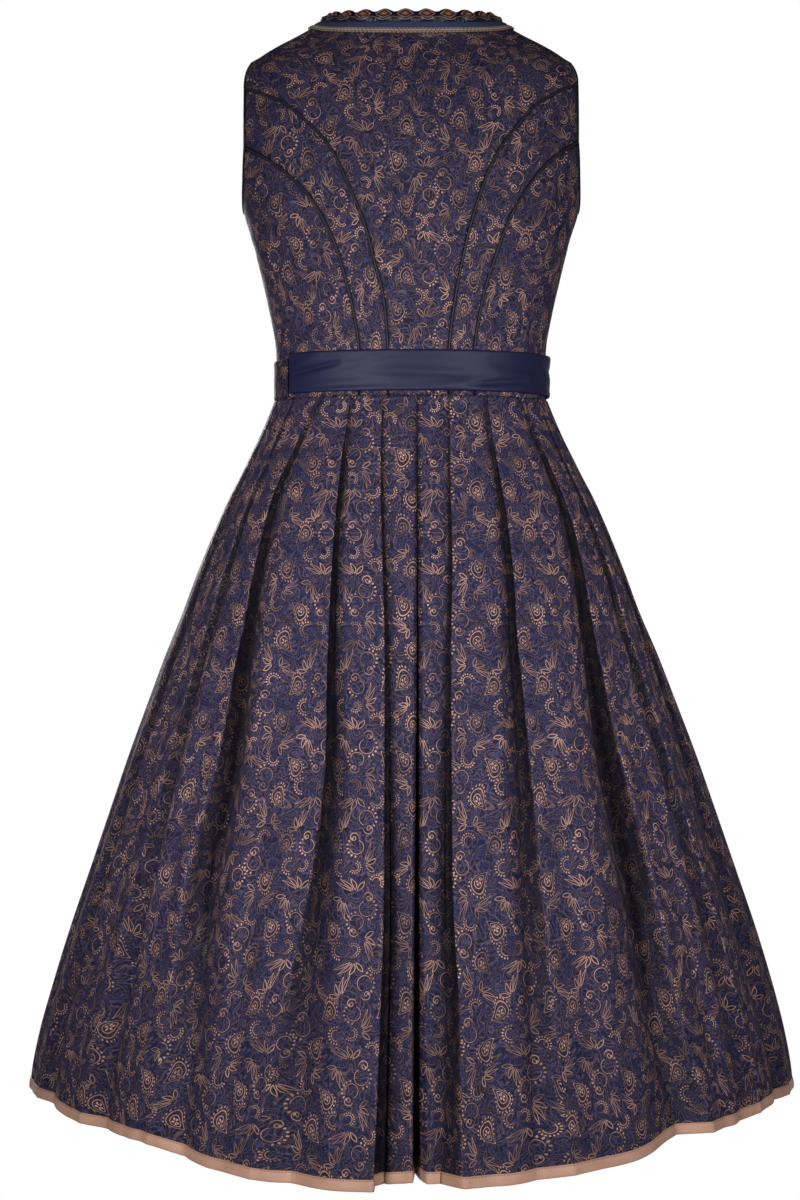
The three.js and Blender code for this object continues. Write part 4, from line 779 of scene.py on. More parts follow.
def jacquard_material(name, stretch, ground, ground_light, copper, copper_dim):
    """The jacquard: ground and copper threads by the figure's mask, finer scrolls in the ground,
    and copper that is brighter in some places than in others, partly tone that varies and partly
    painted sheen. Beside each copper line the ground has a dark rim of painted shade, and the
    colour is painted almost black as shade in fold hollows and beside seams, by the mesh's
    fold_shade attribute."""
    material, tree, shader, cloth_map = new_material(name, 0.5)
    larger = tree.nodes.new("ShaderNodeVectorMath")
    larger.operation = "SCALE"
    larger.inputs["Scale"].default_value = stretch
    tree.links.new(cloth_map, larger.inputs[0])
    mask = use_group(tree, copper_figure, {"Cloth": larger.outputs[0]})["Mask"]
    weave = use_group(tree, satin_weave, {"Cloth": cloth_map, "Pitch": 0.9})
    blue_scroll = scroll_lines(tree, cloth_map, 0.085, 0.25)
    rust_scroll = scroll_lines(tree, cloth_map, 0.055, 0.17)
    patchy = calc(tree, "MULTIPLY_ADD", weave["Cloud"], 4.0, -1.1, clamp=True)
    base = blend_colours(tree, blue_scroll, (*ground, 1), (*ground_light, 1))
    rust = calc(tree, "MULTIPLY", calc(tree, "MULTIPLY", rust_scroll, patchy), 0.8)
    base = blend_colours(tree, rust, base, (*copper_dim, 1))
    # Copper thread brighter in some patches than in others: partly tone that varies, partly painted
    # sheen.
    bright = calc(tree, "MULTIPLY_ADD", weave["Cloud"], 3.6, -1.3, clamp=True)
    thread = blend_colours(tree, bright, (*copper_dim, 1), (*copper, 1))
    # Painted shade of seams and folds, from the mesh's attribute.
    hollow = tree.nodes.new("ShaderNodeAttribute")
    hollow.attribute_name = "fold_shade"
    line = calc(tree, "MULTIPLY_ADD", calc(tree, "SUBTRACT", mask, LINE_EDGE), 3.7, 0.5, clamp=True)
    # Painted shade: a dark rim in the ground beside each copper line, as beside a raised thread.
    rim = calc(tree, "MULTIPLY", calc(tree, "MULTIPLY", mask, 1.8, clamp=True), 0.72)
    base = blend_colours(tree, rim, base, (ground[0] * 0.4, ground[1] * 0.4, ground[2] * 0.5, 1))
    woven = blend_colours(tree, line, base, thread)
    # Painted shade: the colour goes almost black where a point lies in a fold's hollow or beside a
    # seam.
    depth = calc(tree, "MULTIPLY", hollow.outputs["Fac"], 0.94)
    shaded = blend_colours(tree, depth, woven, FOLD_PAINTED_SHADE)
    tree.links.new(shaded, shader.inputs["Base Color"])
    tree.links.new(calc(tree, "MULTIPLY_ADD", line, -0.1, 0.72), shader.inputs["Roughness"])
    shader.inputs["Specular IOR Level"].default_value = 0.12
    add_bump(tree, shader, weave["Height"], 0.05, 0.35)
    return material


jacquard = jacquard_material(
    "jacquard", 0.86, (0.0125, 0.0117, 0.028), (0.047, 0.045, 0.122),
    (0.55, 0.315, 0.235), (0.14, 0.084, 0.075))

# Bodice panels
# Nine panels of jacquard, closely fitted. The back is cut in five: a centre panel in one with
# the yoke, and an inner and an outer panel on each side. The front has a centre and a side panel
# on each side, and the right front laps over the left. Beside each seam the cloth turns in, and
# its colour is darkened there as painted shade.
ROLL_DEPTH = 1.1
ROLL_RADIUS = 1.7
SEAM_GAP = 0.2
MEAN_RADIUS = 136
BIAS_EASE = 1.04
back_creases = [
    (163, -176, 138, -156, 5.5, -2.6),
    (158, -194, 132, -166, 6, 1.5),
    (152, -208, 126, -180, 5.5, -2.4),
    (146, -236, 118, -214, 8, -1.2),
    (-162, -170, -140, -156, 5, -1.8),
    (-155, -200, -130, -182, 6, -1.4),
    (60, -70, 92, -100, 9, -0.8),
    (-40, -120, -72, -136, 10, -0.7),
    (18, -300, -28, -304, 9, -0.7),
    (100, -300, 128, -306, 7, -0.9),
    (-84, -296, -122, -304, 8, -0.9),
    (-10, -236, 12, -262, 12, 0.6),
]
front_creases = [
    (150, -186, 112, -160, 7, -2.2),
    (-148, -190, -114, -168, 7, -2.0),
    (20, -240, 62, -230, 10, -1.0),
    (-22, -252, -60, -238, 10, -1.0),
    (90, -296, 126, -304, 8, -1.0),
    (-88, -300, -124, -304, 8, -1.0),
]


def edge_roll(shares, width, depth=ROLL_DEPTH):
    """How far a panel's cloth turns in beside its two seams, for shares of its width."""
    near = np.minimum(shares, 1 - shares) * width
    return -depth * np.exp(-((near / ROLL_RADIUS) ** 2))


def body_map(x_shift, points):
    """The cloth map of a bodice panel: the length round the body from the middle of the back or
    front, and the height."""
    turn = np.arctan2(points[..., 0], points[..., 1])
    behind = np.abs(turn) < math.pi / 2
    round_side = np.where(behind, turn, turn - np.sign(turn) * math.pi)
    across = round_side * MEAN_RADIUS + points[..., 0] * 0.06
    return np.stack([across + x_shift, points[..., 2]], axis=-1)


def rolled_panel(points, grid_map, roll):
    """A panel's grid with its points moved along their normals by a roll, given for each point,
    and its painted shade, dark where it turns in."""
    moved = points + grid_normals(points) * roll[..., None]
    return moved, grid_map, np.clip(roll / -ROLL_DEPTH, 0, 1) + 0 * points[..., 0]


def back_centre_panel():
    """The yoke's fan from the neck edge to its foot, and below it rows between the inner seams."""
    inner_sides = np.linspace(0, YOKE_CORNER, 25)
    outer_sides = np.linspace(YOKE_CORNER, 0.9985, 15)[1:]
    half = np.concatenate([inner_sides, outer_sides])
    sides = np.concatenate([-half[:0:-1], half])
    downs = np.linspace(0, 1, 34)
    fan = yoke_point(sides[None, :], downs[:, None])
    foot_x = np.sign(sides) * yoke["foot_x"](np.minimum(np.abs(sides), YOKE_CORNER))
    lengths = np.linalg.norm(fan[0] - fan[-1], axis=-1)
    fan_map = np.stack([
        mix(fan[:1, :, 0] * BIAS_EASE, fan[-1:, :, 0] * BIAS_EASE, downs[:, None]),
        fan[-1:, :, 2] + (1 - downs[:, None]) * lengths[None, :] * 1.03], axis=-1)
    fan = creased(fan, back_creases)
    centre = slice(len(outer_sides), len(sides) - len(outer_sides))
    part = (foot_x[centre] / ARMHOLE_X + 1) / 2
    shares = np.linspace(1, 0, 110)
    left_x, left_z = seams["inner_left"](shares)
    right_x, right_z = seams["inner_right"](shares)
    x = mix(right_x[:, None] + SEAM_GAP, left_x[:, None] - SEAM_GAP, part[None, :])
    z = mix(right_z[:, None], left_z[:, None], part[None, :])
    lower = on_body(x, z)
    lower_map = np.stack([lower[..., 0] * BIAS_EASE, z], axis=-1)
    lower = creased(lower, back_creases)
    width = np.maximum(left_x - right_x, 1)[:, None]
    roll = edge_roll(part[None, :], width) * np.clip((1 - shares[:, None]) * 12, 0, 1)
    panel = rolled_panel(lower, lower_map, roll)
    panel[0][0] = fan[-1, centre]
    return [(fan, fan_map), panel]


def inner_back_panel(side):
    """Rows from the outer seam to the inner one on one side of the back."""
    shares = np.linspace(0, 1, 96)[:, None]
    outer_x, outer_z = seams["outer_" + side](shares)
    inner_x, inner_z = seams["inner_" + side](shares)
    width = np.hypot(inner_x - outer_x, inner_z - outer_z)
    part = mix(SEAM_GAP / width, 1 - SEAM_GAP / width, edged(22)[None, :])
    points = on_body(mix(outer_x, inner_x, part), mix(outer_z, inner_z, part))
    grid_map = body_map(31 if side == "left" else -47, points)
    return [rolled_panel(creased(points, back_creases), grid_map, edge_roll(part, width))]


def scoop_at(part, share):
    """How far the armhole dips below the line from its seam to the side seam."""
    return ARMHOLE_SCOOP * np.sin(np.pi * part) * share ** 4


def outer_back_panel(side):
    """Rows from the outer seam round to the side seam on one side of the back."""
    hand = 1 if side == "left" else -1
    shares = np.linspace(0, 1, 80)[:, None]
    x, z = seams["outer_" + side](shares)
    part = mix(0.003, 0.999, edged(34)[None, :])
    turn = mix(body_turn(x, z), hand * 90, part)
    height = mix(z, mix(WAIST_Z, UNDERARM_Z, shares), part) - scoop_at(part, shares)
    points = body_point(turn, height)
    grid_map = body_map(hand * 63, points)
    width = np.abs(body_half(z) - np.abs(x)) * 1.5 + 30
    return [rolled_panel(creased(points, back_creases), grid_map, edge_roll(part, width))]


def front_centre_panel(hand):
    """Rows from the front edge and neckline out to the bust seam and armhole, up over the
    shoulder to the ridge."""
    rows = np.linspace(0, STRAP_BASE + STRAP_ROWS, 120)[:, None]
    out = mix(0.002, 0.997, edged(30, 0.5)[None, :])
    points = front_point(hand, out, rows)
    grid_map = body_map(hand * 20, points)
    return [rolled_panel(creased(points, front_creases), grid_map, edge_roll(out, 70, 0.7))]


def front_side_panel(hand):
    """Rows from the bust seam round to the side seam."""
    shares = np.linspace(0, 1, 80)[:, None]
    x, z = front_place(hand, 1.0, shares * BUST_SEAM_TOP_ROW)
    part = mix(0.004, 0.999, edged(34)[None, :])
    turn = mix(body_turn(x, z, True), hand * 90, part)
    height = mix(z, mix(WAIST_Z, UNDERARM_Z, shares), part) - scoop_at(part, shares)
    points = body_point(turn, height)
    grid_map = body_map(hand * -35, points)
    return [rolled_panel(creased(points, front_creases), grid_map, edge_roll(part, 90))]


bodice_cuts = [
    ("bodice_back_centre", back_centre_panel(), (0.36, 0.46)),
    ("bodice_back_inner_left", inner_back_panel("left"), (0.11, 0.40)),
    ("bodice_back_inner_right", inner_back_panel("right"), (0.11, 0.40)),
    ("bodice_back_outer_left", outer_back_panel("left"), (0.16, 0.28)),
    ("bodice_back_outer_right", outer_back_panel("right"), (0.16, 0.28)),
    ("bodice_front_centre_left", front_centre_panel(1), (0.18, 0.46)),
    ("bodice_front_centre_right", front_centre_panel(-1), (0.18, 0.46)),
    ("bodice_front_side_left", front_side_panel(1), (0.15, 0.28)),
    ("bodice_front_side_right", front_side_panel(-1), (0.15, 0.28)),
]
for cut_name, cut_grids, cut_flat in bodice_cuts:
    cloth_piece(cut_name + "_cloth", cut_grids, jacquard, [cut_name])

# Seam and armhole piping
# A thin cord in satin stands in each back seam, and one runs round each armhole. Its colour
# holds painted light: a painted highlight of greyish navy along its top, and painted shade,
# almost black, where it meets the panels.
CORD_SIDES = 12
SEAM_CORD_RADIUS = 1.2
ARMHOLE_CORD_RADIUS = 1.5
ARMHOLE_STEP = 2.4
CORD_SEAT = 0.1
CORD_PAINTED_SHADE = (0.0015, 0.0015, 0.003, 1)
CORD_PAINTED_HIGHLIGHT = (0.022, 0.022, 0.034, 1)


def cord_material():
    """Satin cord: a painted highlight along its top and painted shade down its sides, by the turn
    round it that the cloth map holds.
    """
    material, tree, shader, cloth_map = new_material("piping_satin", 0.5)
    along, turn = along_and_up(tree, cloth_map)
    top = calc(tree, "COSINE", calc(tree, "MULTIPLY", turn, 2 * math.pi))
    twist = calc(tree, "SINE", calc(tree, "MULTIPLY_ADD", along, 2.6, turn))
    # Painted highlight along the top and painted shade down the sides, varied a little by the twist.
    light = calc(tree, "MULTIPLY_ADD", top, 2.2, -1.1, clamp=True)
    light = calc(tree, "MULTIPLY", light, calc(tree, "MULTIPLY_ADD", twist, 0.12, 0.88))
    colours = blend_colours(tree, light, CORD_PAINTED_SHADE, CORD_PAINTED_HIGHLIGHT)
    tree.links.new(colours, shader.inputs["Base Color"])
    shader.inputs["Specular IOR Level"].default_value = 0.2
    return material


def lengths_along(points):
    """The length walked from the first point to each point of a path."""
    return np.concatenate([[0], np.cumsum(np.linalg.norm(np.diff(points, axis=0), axis=1))])


def at_lengths(at, length, values):
    """Points or directions of a path at walked lengths, between those that it is given at."""
    return np.stack([np.interp(at, length, values[:, k]) for k in range(3)], axis=-1)


def cord_grid(middles, normals, radius, closed=False):
    """A tube round a line of middles: the section is a circle in the plane of the normal and the
    side, and the cloth map holds the length along it and the turn round it from the top."""
    if closed:
        along = np.roll(middles, -1, axis=0) - np.roll(middles, 1, axis=0)
    else:
        along = np.gradient(middles, axis=0)
    along = unit(along)
    up = unit(normals - along * np.sum(normals * along, axis=-1, keepdims=True))
    side = np.cross(along, up)
    turn = np.linspace(-0.5, 0.5, CORD_SIDES + 1)[None, :, None]
    grid = (middles[:, None] + up[:, None] * radius * np.cos(2 * np.pi * turn)
            + side[:, None] * radius * np.sin(2 * np.pi * turn))
    length = lengths_along(middles)
    grid_map = np.stack(np.broadcast_arrays(length[:, None], turn[0, :, 0][None, :]), axis=-1)
    return grid, grid_map


def solid_mesh(name, grid, grid_map, material, ring=False):
    """A closed body from a grid whose columns come round to the start: the seam is welded, and
    the ends are closed, by flat caps or, for a ring, to each other."""
    rows, columns = grid.shape[:2]
    if ring:
        grid = np.concatenate([grid, grid[:1]])
        grid_map = np.concatenate([grid_map, grid_map[-1:] + (grid_map[1:2] - grid_map[:1])])
        rows += 1
    index = np.arange(rows * columns).reshape(rows, columns)
    mesh = bpy.data.meshes.new(name)
    mesh.from_pydata(grid.reshape(-1, 3) * MM, [], quads(index).reshape(-1, 4))
    layer = mesh.uv_layers.new(name="cloth")
    layer.data.foreach_set("uv", quads(grid_map).astype(np.float32).ravel())
    body = bmesh.new()
    body.from_mesh(mesh)
    bmesh.ops.remove_doubles(body, verts=body.verts, dist=1e-6)
    if not ring:
        bmesh.ops.holes_fill(body, edges=body.edges)
    bmesh.ops.recalc_face_normals(body, faces=body.faces)
    for face in body.faces:
        face.smooth = True
    body.to_mesh(mesh)
    body.free()
    mesh.materials.append(material)
    return mesh


def body_normals(x, z, on_front=False):
    """Outward unit normals of the bodice at places (x, z)."""
    turn = body_turn(x, z, on_front)
    along = body_point(turn + 0.5, z) - body_point(turn - 0.5, z)
    rise = body_point(turn, z + 0.5) - body_point(turn, z - 0.5)
    normals = unit(np.cross(along, rise))
    away = np.sum(normals * body_point(turn, z) * np.array([1, 1, 0]), axis=-1, keepdims=True)
    return normals * np.where(away < 0, -1, 1)


def even_ring(points, normals, step):
    """A closed path and its normals at even steps of its length."""
    points = np.concatenate([points, points[:1]])
    normals = np.concatenate([normals, normals[:1]])
    length = lengths_along(points)
    at = np.linspace(0, length[-1], int(length[-1] / step) + 1)
    return at_lengths(at, length, points)[:-1], unit(at_lengths(at, length, normals))[:-1]


piping_satin = cord_material()
for seam_name, walk in seams.items():
    seam_x, seam_z = walk(np.linspace(0.118, 0.997, 150))
    seam_normals = body_normals(seam_x, seam_z)
    seam_middles = on_body(seam_x, seam_z) + seam_normals * CORD_SEAT
    cord, cord_map = cord_grid(seam_middles, seam_normals, SEAM_CORD_RADIUS)
    cord_mesh = solid_mesh("piping_" + seam_name + "_cord", cord, cord_map, piping_satin)
    place_piece("piping_" + seam_name + "_cord", cord_mesh, ["piping_" + seam_name])


def armhole_path(hand):
    """The edge of an armhole: from the ridge down the yoke, along the strip and the side panels
    under the arm, and up the front strap."""
    side = "left" if hand > 0 else "right"
    yoke_edge = yoke_point(hand * np.linspace(0.999, YOKE_CORNER, 26), 1.0)
    inner_x, inner_z = seams["inner_" + side](1.0)
    outer_x, outer_z = seams["outer_" + side](1.0)
    strip_x = mix(inner_x, outer_x, np.linspace(0.08, 1, 12))
    strip_z = mix(inner_z, outer_z, np.linspace(0.08, 1, 12))
    part = np.linspace(0.02, 1, 36)
    back_turn = mix(body_turn(outer_x, outer_z), hand * 90, part)
    back_z = mix(outer_z, UNDERARM_Z, part) - scoop_at(part, 1.0)
    front_x, front_z = front_place(hand, 1.0, float(BUST_SEAM_TOP_ROW))
    part = part[::-1]
    front_turn = mix(body_turn(front_x, front_z, True), hand * 90, part)
    front_under_z = mix(front_z, UNDERARM_Z, part) - scoop_at(part, 1.0)
    strap_rows = np.linspace(BUST_SEAM_TOP_ROW + 0.1, STRAP_BASE + STRAP_ROWS - 0.02, 50)
    strap = front_point(hand, 1.0, strap_rows)
    path = np.concatenate([
        yoke_edge, on_body(strip_x, strip_z), body_point(back_turn, back_z),
        body_point(front_turn, front_under_z)[1:], strap])
    upwards = np.array([0, 0, 1]) * np.clip(path[:, 2:] + 60, 0, 90) * 3
    return path, unit(path * np.array([1, 0.35, 0]) + upwards)


for hand, side in ((1, "left"), (-1, "right")):
    edge_path, edge_out = even_ring(*armhole_path(hand), ARMHOLE_STEP)
    near_ridge = np.clip((edge_path[:, 2:] + 45) / 30, 0, 1)
    edge_middles = edge_path - edge_out * (0.3 + 1.3 * near_ridge)
    cord, cord_map = cord_grid(edge_middles, edge_out, ARMHOLE_CORD_RADIUS, closed=True)
    cord_name = "piping_armhole_" + side
    cord_mesh = solid_mesh(cord_name + "_cord", cord, cord_map, piping_satin, ring=True)
    place_piece(cord_name + "_cord", cord_mesh, [cord_name])

# Neck trims
# Round the neck stand folds of navy satin, pinched so that each opens as a copper mouth with pale
# lips, and below them lie a narrow blue herringbone band and a taupe chain braid.
MOUTH_PITCH = 21.5
MOUTH_HALF_WIDE = 8.2
MOUTH_HALF_TALL = 4.6
MOUTH_MIDDLE = 4.4
NECK_REACH = 18
NECK_STEP = 0.9
NECK_LIFT = 0.9
THREAD_SOFT = 0.6


def neck_walk(reach):
    """Points of the bodice at distances from the neck edge, along the whole neckline from the
    right front round the back to the left front."""
    reach = np.asarray(reach, float)[:, None]
    rows = np.linspace(NECKLINE_ROW + 0.06, STRAP_BASE + STRAP_ROWS, 160)
    low = rows[rows <= STRAP_BASE]
    high = rows[rows > STRAP_BASE]

    def front(hand):
        """The neckline of one side of the front, up to the shoulder ridge."""
        here_x, here_z = front_place(hand, 0.0, low)
        after_x, after_z = front_place(hand, 0.0, np.minimum(low + 0.4, STRAP_BASE))
        before_x, before_z = front_place(hand, 0.0, np.maximum(low - 0.4, NECKLINE_ROW))
        run = unit(np.stack([after_x - before_x, after_z - before_z], axis=-1))
        lower = on_body(here_x + hand * run[:, 1] * reach, here_z - hand * run[:, 0] * reach, True)
        width = np.linalg.norm(front_point(hand, 0.0, high) - front_point(hand, 1.0, high), axis=-1)
        upper = front_point(hand, reach / width, high[None, :])
        return np.concatenate([lower, upper], axis=1)

    sides = np.linspace(-0.985, 0.985, 170)
    length = np.linalg.norm(yoke_point(sides, 0.0) - yoke_point(sides, 1.0), axis=-1)
    behind = yoke_point(sides[None, :], reach / length)
    return np.concatenate([front(-1), behind, front(1)[:, ::-1]], axis=1)


def even_walk(grid, step):
    """The same rows at even steps of the first row's length, and the length at each step."""
    length = lengths_along(grid[0])
    at = np.linspace(0, length[-1], int(length[-1] / step) + 1)
    return np.stack([at_lengths(at, length, row) for row in grid]), at


neck_reaches = np.linspace(0, NECK_REACH, NECK_REACH + 1)
neck_grid, neck_lengths = even_walk(neck_walk(neck_reaches), NECK_STEP)
neck_normals = unit(np.cross(np.gradient(neck_grid, axis=1), np.gradient(neck_grid, axis=0)))
neck_outward = np.sum(neck_normals * (neck_grid + np.array([0, 0, 90.0])), axis=-1)
neck_normals *= np.where(neck_outward < 0, -1, 1)[..., None]
for _ in range(6):
    neck_normals[:, 1:-1] = unit(neck_normals[:, :-2] + 2 * neck_normals[:, 1:-1] + neck_normals[:, 2:])
neck_up = unit(neck_grid[0] - neck_grid[4])


def on_neck(reach, out):
    """Points at distances from the neck edge and above the cloth, for arrays whose columns run
    along the neckline; a negative reach stands up beyond the edge."""
    place = np.clip(reach, 0, NECK_REACH - 0.01)
    low = place.astype(int)
    part = (place - low)[..., None]
    column = np.arange(neck_grid.shape[1])
    point = mix(neck_grid[low, column], neck_grid[low + 1, column], part)
    normal = mix(neck_normals[low, column], neck_normals[low + 1, column], part)
    return point + normal * out[..., None] + neck_up * np.clip(-reach, 0, None)[..., None]


def thread_line(tree, distance, width):
    """A mask of a line of a width in millimetres, from the distance to its middle."""
    inside = calc(tree, "SUBTRACT", width / 2, calc(tree, "ABSOLUTE", distance))
    return calc(tree, "MULTIPLY_ADD", inside, 1 / THREAD_SOFT, 0.5, clamp=True)


def ruching_material():
    """Navy satin with copper diamonds between pale lips, by the place along and up the trim; the
    copper is painted darker towards the edge of each diamond, as painted shade under the lips.
    """
    material, tree, shader, cloth_map = new_material("ruching_satin", 0.34)
    along, up = along_and_up(tree, cloth_map)
    cell = calc(tree, "FRACT", calc(tree, "DIVIDE", along, MOUTH_PITCH))
    from_middle = calc(tree, "MULTIPLY", calc(tree, "SUBTRACT", cell, 0.5), MOUTH_PITCH)
    beside = calc(tree, "ABSOLUTE", from_middle)
    above = calc(tree, "ABSOLUTE", calc(tree, "SUBTRACT", up, MOUTH_MIDDLE))
    across = calc(tree, "POWER", calc(tree, "DIVIDE", beside, MOUTH_HALF_WIDE), 1.2)
    upward = calc(tree, "POWER", calc(tree, "DIVIDE", above, MOUTH_HALF_TALL), 1.2)
    diamond = calc(tree, "ADD", across, upward)
    inside = calc(tree, "MULTIPLY_ADD", calc(tree, "SUBTRACT", 0.78, diamond), 7.0, 0.5, clamp=True)
    centre = calc(tree, "MULTIPLY_ADD", diamond, -1.8, 1.1, clamp=True)
    from_lip = calc(tree, "ABSOLUTE", calc(tree, "SUBTRACT", diamond, 0.95))
    lip = calc(tree, "MULTIPLY_ADD", from_lip, -10.0, 1.1, clamp=True)
    swing = calc(tree, "COSINE", calc(tree, "MULTIPLY", cell, 2 * math.pi))
    from_wave = calc(tree, "MULTIPLY_ADD", swing, -1.7, up)
    wave = thread_line(tree, from_wave, 0.6)
    pale = calc(tree, "MAXIMUM", lip, calc(tree, "MULTIPLY", wave, 0.45))
    # Painted shade: the copper goes almost black towards the lips.
    copper = blend_colours(tree, centre, (0.02, 0.009, 0.007, 1), (0.34, 0.135, 0.075, 1))
    navy = blend_colours(tree, inside, (0.0035, 0.004, 0.014, 1), copper)
    tree.links.new(blend_colours(tree, pale, navy, (0.50, 0.27, 0.185, 1)), shader.inputs["Base Color"])
    shader.inputs["Specular IOR Level"].default_value = 0.35
    wrinkle = tree.nodes.new("ShaderNodeTexNoise")
    wrinkle.inputs["Scale"].default_value = 0.5
    tree.links.new(cloth_map, wrinkle.inputs["Vector"])
    add_bump(tree, shader, wrinkle.outputs["Fac"], 0.6, 0.6)
    return material


def ruching_grid():
    """The trim from its seat to its crest and over: it swells at each mouth, the mouth sinks in,
    its lips rise, and small folds run up between the mouths."""
    share = np.linspace(0, 1, 24)[:, None]
    phase = neck_lengths[None, :] / MOUTH_PITCH
    beside = (phase % 1 - 0.5) * MOUTH_PITCH
    swell = 0.5 + 0.5 * np.cos(2 * np.pi * beside / MOUTH_PITCH)
    height = -3.6 + share * (12.6 + 3.2 * swell)
    above = np.abs(height - MOUTH_MIDDLE) / MOUTH_HALF_TALL
    diamond = (np.abs(beside) / MOUTH_HALF_WIDE) ** 1.2 + above ** 1.2
    out = 0.3 + (1.9 + 2.5 * swell) * np.sin(np.pi * np.clip(share * 1.02, 0, 1)) ** 0.7
    out = out - 1.7 * np.clip(1.05 - diamond, 0, 1) + 0.5 * np.exp(-(((diamond - 1) / 0.16) ** 2))
    out = out + 0.35 * np.sin(beside * 1.9 + height * 0.35) * (1 - swell)
    out = out - 1.6 * np.clip(share - 0.9, 0, 1) / 0.1
    points = on_neck(-height, out + NECK_LIFT)
    return points, np.stack(np.broadcast_arrays(neck_lengths[None, :], height), axis=-1)


cloth_piece(
    "neck_ruching_trim", [ruching_grid()], ruching_material(), ["neck_ruching"],
    1.0)

RIB_PITCH = 1.5


def herringbone_material():
    """Denim-blue band: diagonal ribs that turn over along its middle."""
    material, tree, shader, cloth_map = new_material("blue_band_weave", 0.6)
    along, up = along_and_up(tree, cloth_map)
    folded = calc(tree, "PINGPONG", up, RIB_PITCH)
    slant = calc(tree, "MULTIPLY", calc(tree, "ADD", along, folded), 2 * math.pi / RIB_PITCH)
    rib = calc(tree, "MULTIPLY_ADD", calc(tree, "SINE", slant), 0.5, 0.5)
    colours = blend_colours(tree, rib, (0.012, 0.017, 0.040, 1), (0.060, 0.085, 0.185, 1))
    tree.links.new(colours, shader.inputs["Base Color"])
    shader.inputs["Specular IOR Level"].default_value = 0.2
    add_bump(tree, shader, rib, 0.35, 0.8)
    return material


band_share = np.linspace(0, 1, 11)[:, None]
band_out = NECK_LIFT + 0.7 + 0.6 * np.sin(np.pi * band_share) ** 0.5 + 0 * neck_lengths[None, :]
band_reach = mix(2.6, 9.4, band_share) + 0 * neck_lengths[None, :]
band_map = np.stack([neck_lengths[None, :] + 0 * band_reach, band_reach], axis=-1)
cloth_piece(
    "neck_blue_band_trim", [(on_neck(band_reach, band_out), band_map)], herringbone_material(),
    ["neck_blue_band"], 1.0)

CHAIN_PITCH = 3.5


def braid_material():
    """Taupe gimp: a painted highlight on its raised threads and painted shade in the gaps, by the
    height kept in an attribute, with fine twisted yarn."""
    material, tree, shader, cloth_map = new_material("chain_braid_yarn", 0.7)
    raised = tree.nodes.new("ShaderNodeAttribute")
    raised.attribute_name = "raised"
    yarn = tree.nodes.new("ShaderNodeTexNoise")
    yarn.inputs["Scale"].default_value = 1.6
    tree.links.new(cloth_map, yarn.inputs["Vector"])
    twist = calc(tree, "MULTIPLY_ADD", yarn.outputs["Fac"], 0.5, -0.4)
    # Painted light and shade: lighter where the braid is raised, darker in its gaps.
    light = calc(tree, "MULTIPLY_ADD", raised.outputs["Fac"], 1.3, twist, clamp=True)
    colours = blend_colours(tree, light, (0.055, 0.038, 0.030, 1), (0.40, 0.29, 0.235, 1))
    tree.links.new(colours, shader.inputs["Base Color"])
    shader.inputs["Specular IOR Level"].default_value = 0.15
    return material


def braid_grid():
    """The chain: lens-shaped links along the middle, and a loop on each side between them."""
    share = np.linspace(-1, 1, 17)[:, None]
    across = share * 3.3
    phase = neck_lengths[None, :] / CHAIN_PITCH
    link = (phase % 1 - 0.5) * CHAIN_PITCH
    loop = ((phase + 0.5) % 1 - 0.5) * CHAIN_PITCH
    middle = np.clip(1 - (across / 1.25) ** 2 - (link / 1.75) ** 4, 0, 1) ** 0.5
    from_loop = np.hypot((np.abs(across) - 2.3) / 1.0, loop / 1.5)
    loops = np.clip(1 - (np.abs(from_loop - 0.62) / 0.45) ** 2, 0, 1) ** 0.5
    raised = np.maximum(middle, 0.75 * loops)
    edge = np.clip((1 - np.abs(share)) * 5, 0, 1)
    out = NECK_LIFT + 0.5 + 1.5 * raised * edge ** 0.5
    points = on_neck(13.0 + across + 0 * out, out)
    return points, np.stack(np.broadcast_arrays(neck_lengths[None, :], across), axis=-1), raised


braid_points, braid_map, braid_raised = braid_grid()
braid_mesh = cloth_mesh("neck_chain_braid_trim", [(braid_points, braid_map)], braid_material())
braid_layer = braid_mesh.attributes.new("raised", "FLOAT", "POINT")
braid_layer.data.foreach_set("value", braid_raised.astype(np.float32).ravel())
braid = place_piece("neck_chain_braid_trim", braid_mesh, ["neck_chain_braid"])
thicken(braid, 0.6)

# Skirt form
# The skirt is pleated to the waist seam, and its level line widens to the hem. From each pleat's
# edge a wall turns in under it to the next panel. The tables repeat the CAD: turns are degrees from
# the middle of the back, and each fold says on which sides the cloth lies under its edge.
SKIRT_TOP_Z = WAIST_Z - 0.3
HEM_LEVEL = -1050.0
SINK_POWER = 1.4
BOX_FLOOR = 0.72
SKIRT_ROWS = 104
PANEL_COLUMNS = 28
WALL_COLUMNS = 7
PANEL_SHIFT = 19.0
SHOWING_TURN = 93
skirt_sections = {
    "z": [-354, -362, -372, -392, -412, -432, -452, -492, -532, -572,
          -612, -652, -712, -772, -832, -892, -952, -992, -1032, -1060],
    "half": [136.5, 139.5, 143.5, 152, 161.5, 171, 181, 198.5, 214.5, 229,
             245, 259.5, 281, 301, 321, 341, 359, 370, 378, 381],
}
skirt_depths = {"waist_back": 95, "hem_back": 358, "waist_front": 94, "hem_front": 338}
skirt_powers = {"waist": 2.15, "hem": 1.65}
hem_heights = {
    "turn": [-180, -135, -90, -70, -55, -44, -36, -28, -14, 0, 12, 24, 36, 45, 60, 70, 90, 135, 180],
    "z": [-1050, -1046, -1036, -1034, -1040, -1043, -1053, -1057, -1061, -1061,
          -1064, -1062, -1054, -1043, -1040, -1034, -1036, -1046, -1050],
}
FOLD_LEVELS = [-354, -400, -450, -520, -600, -700, -800, -920, -1050]
FOLD_STAGES = [-354, -560, -800, -1050]
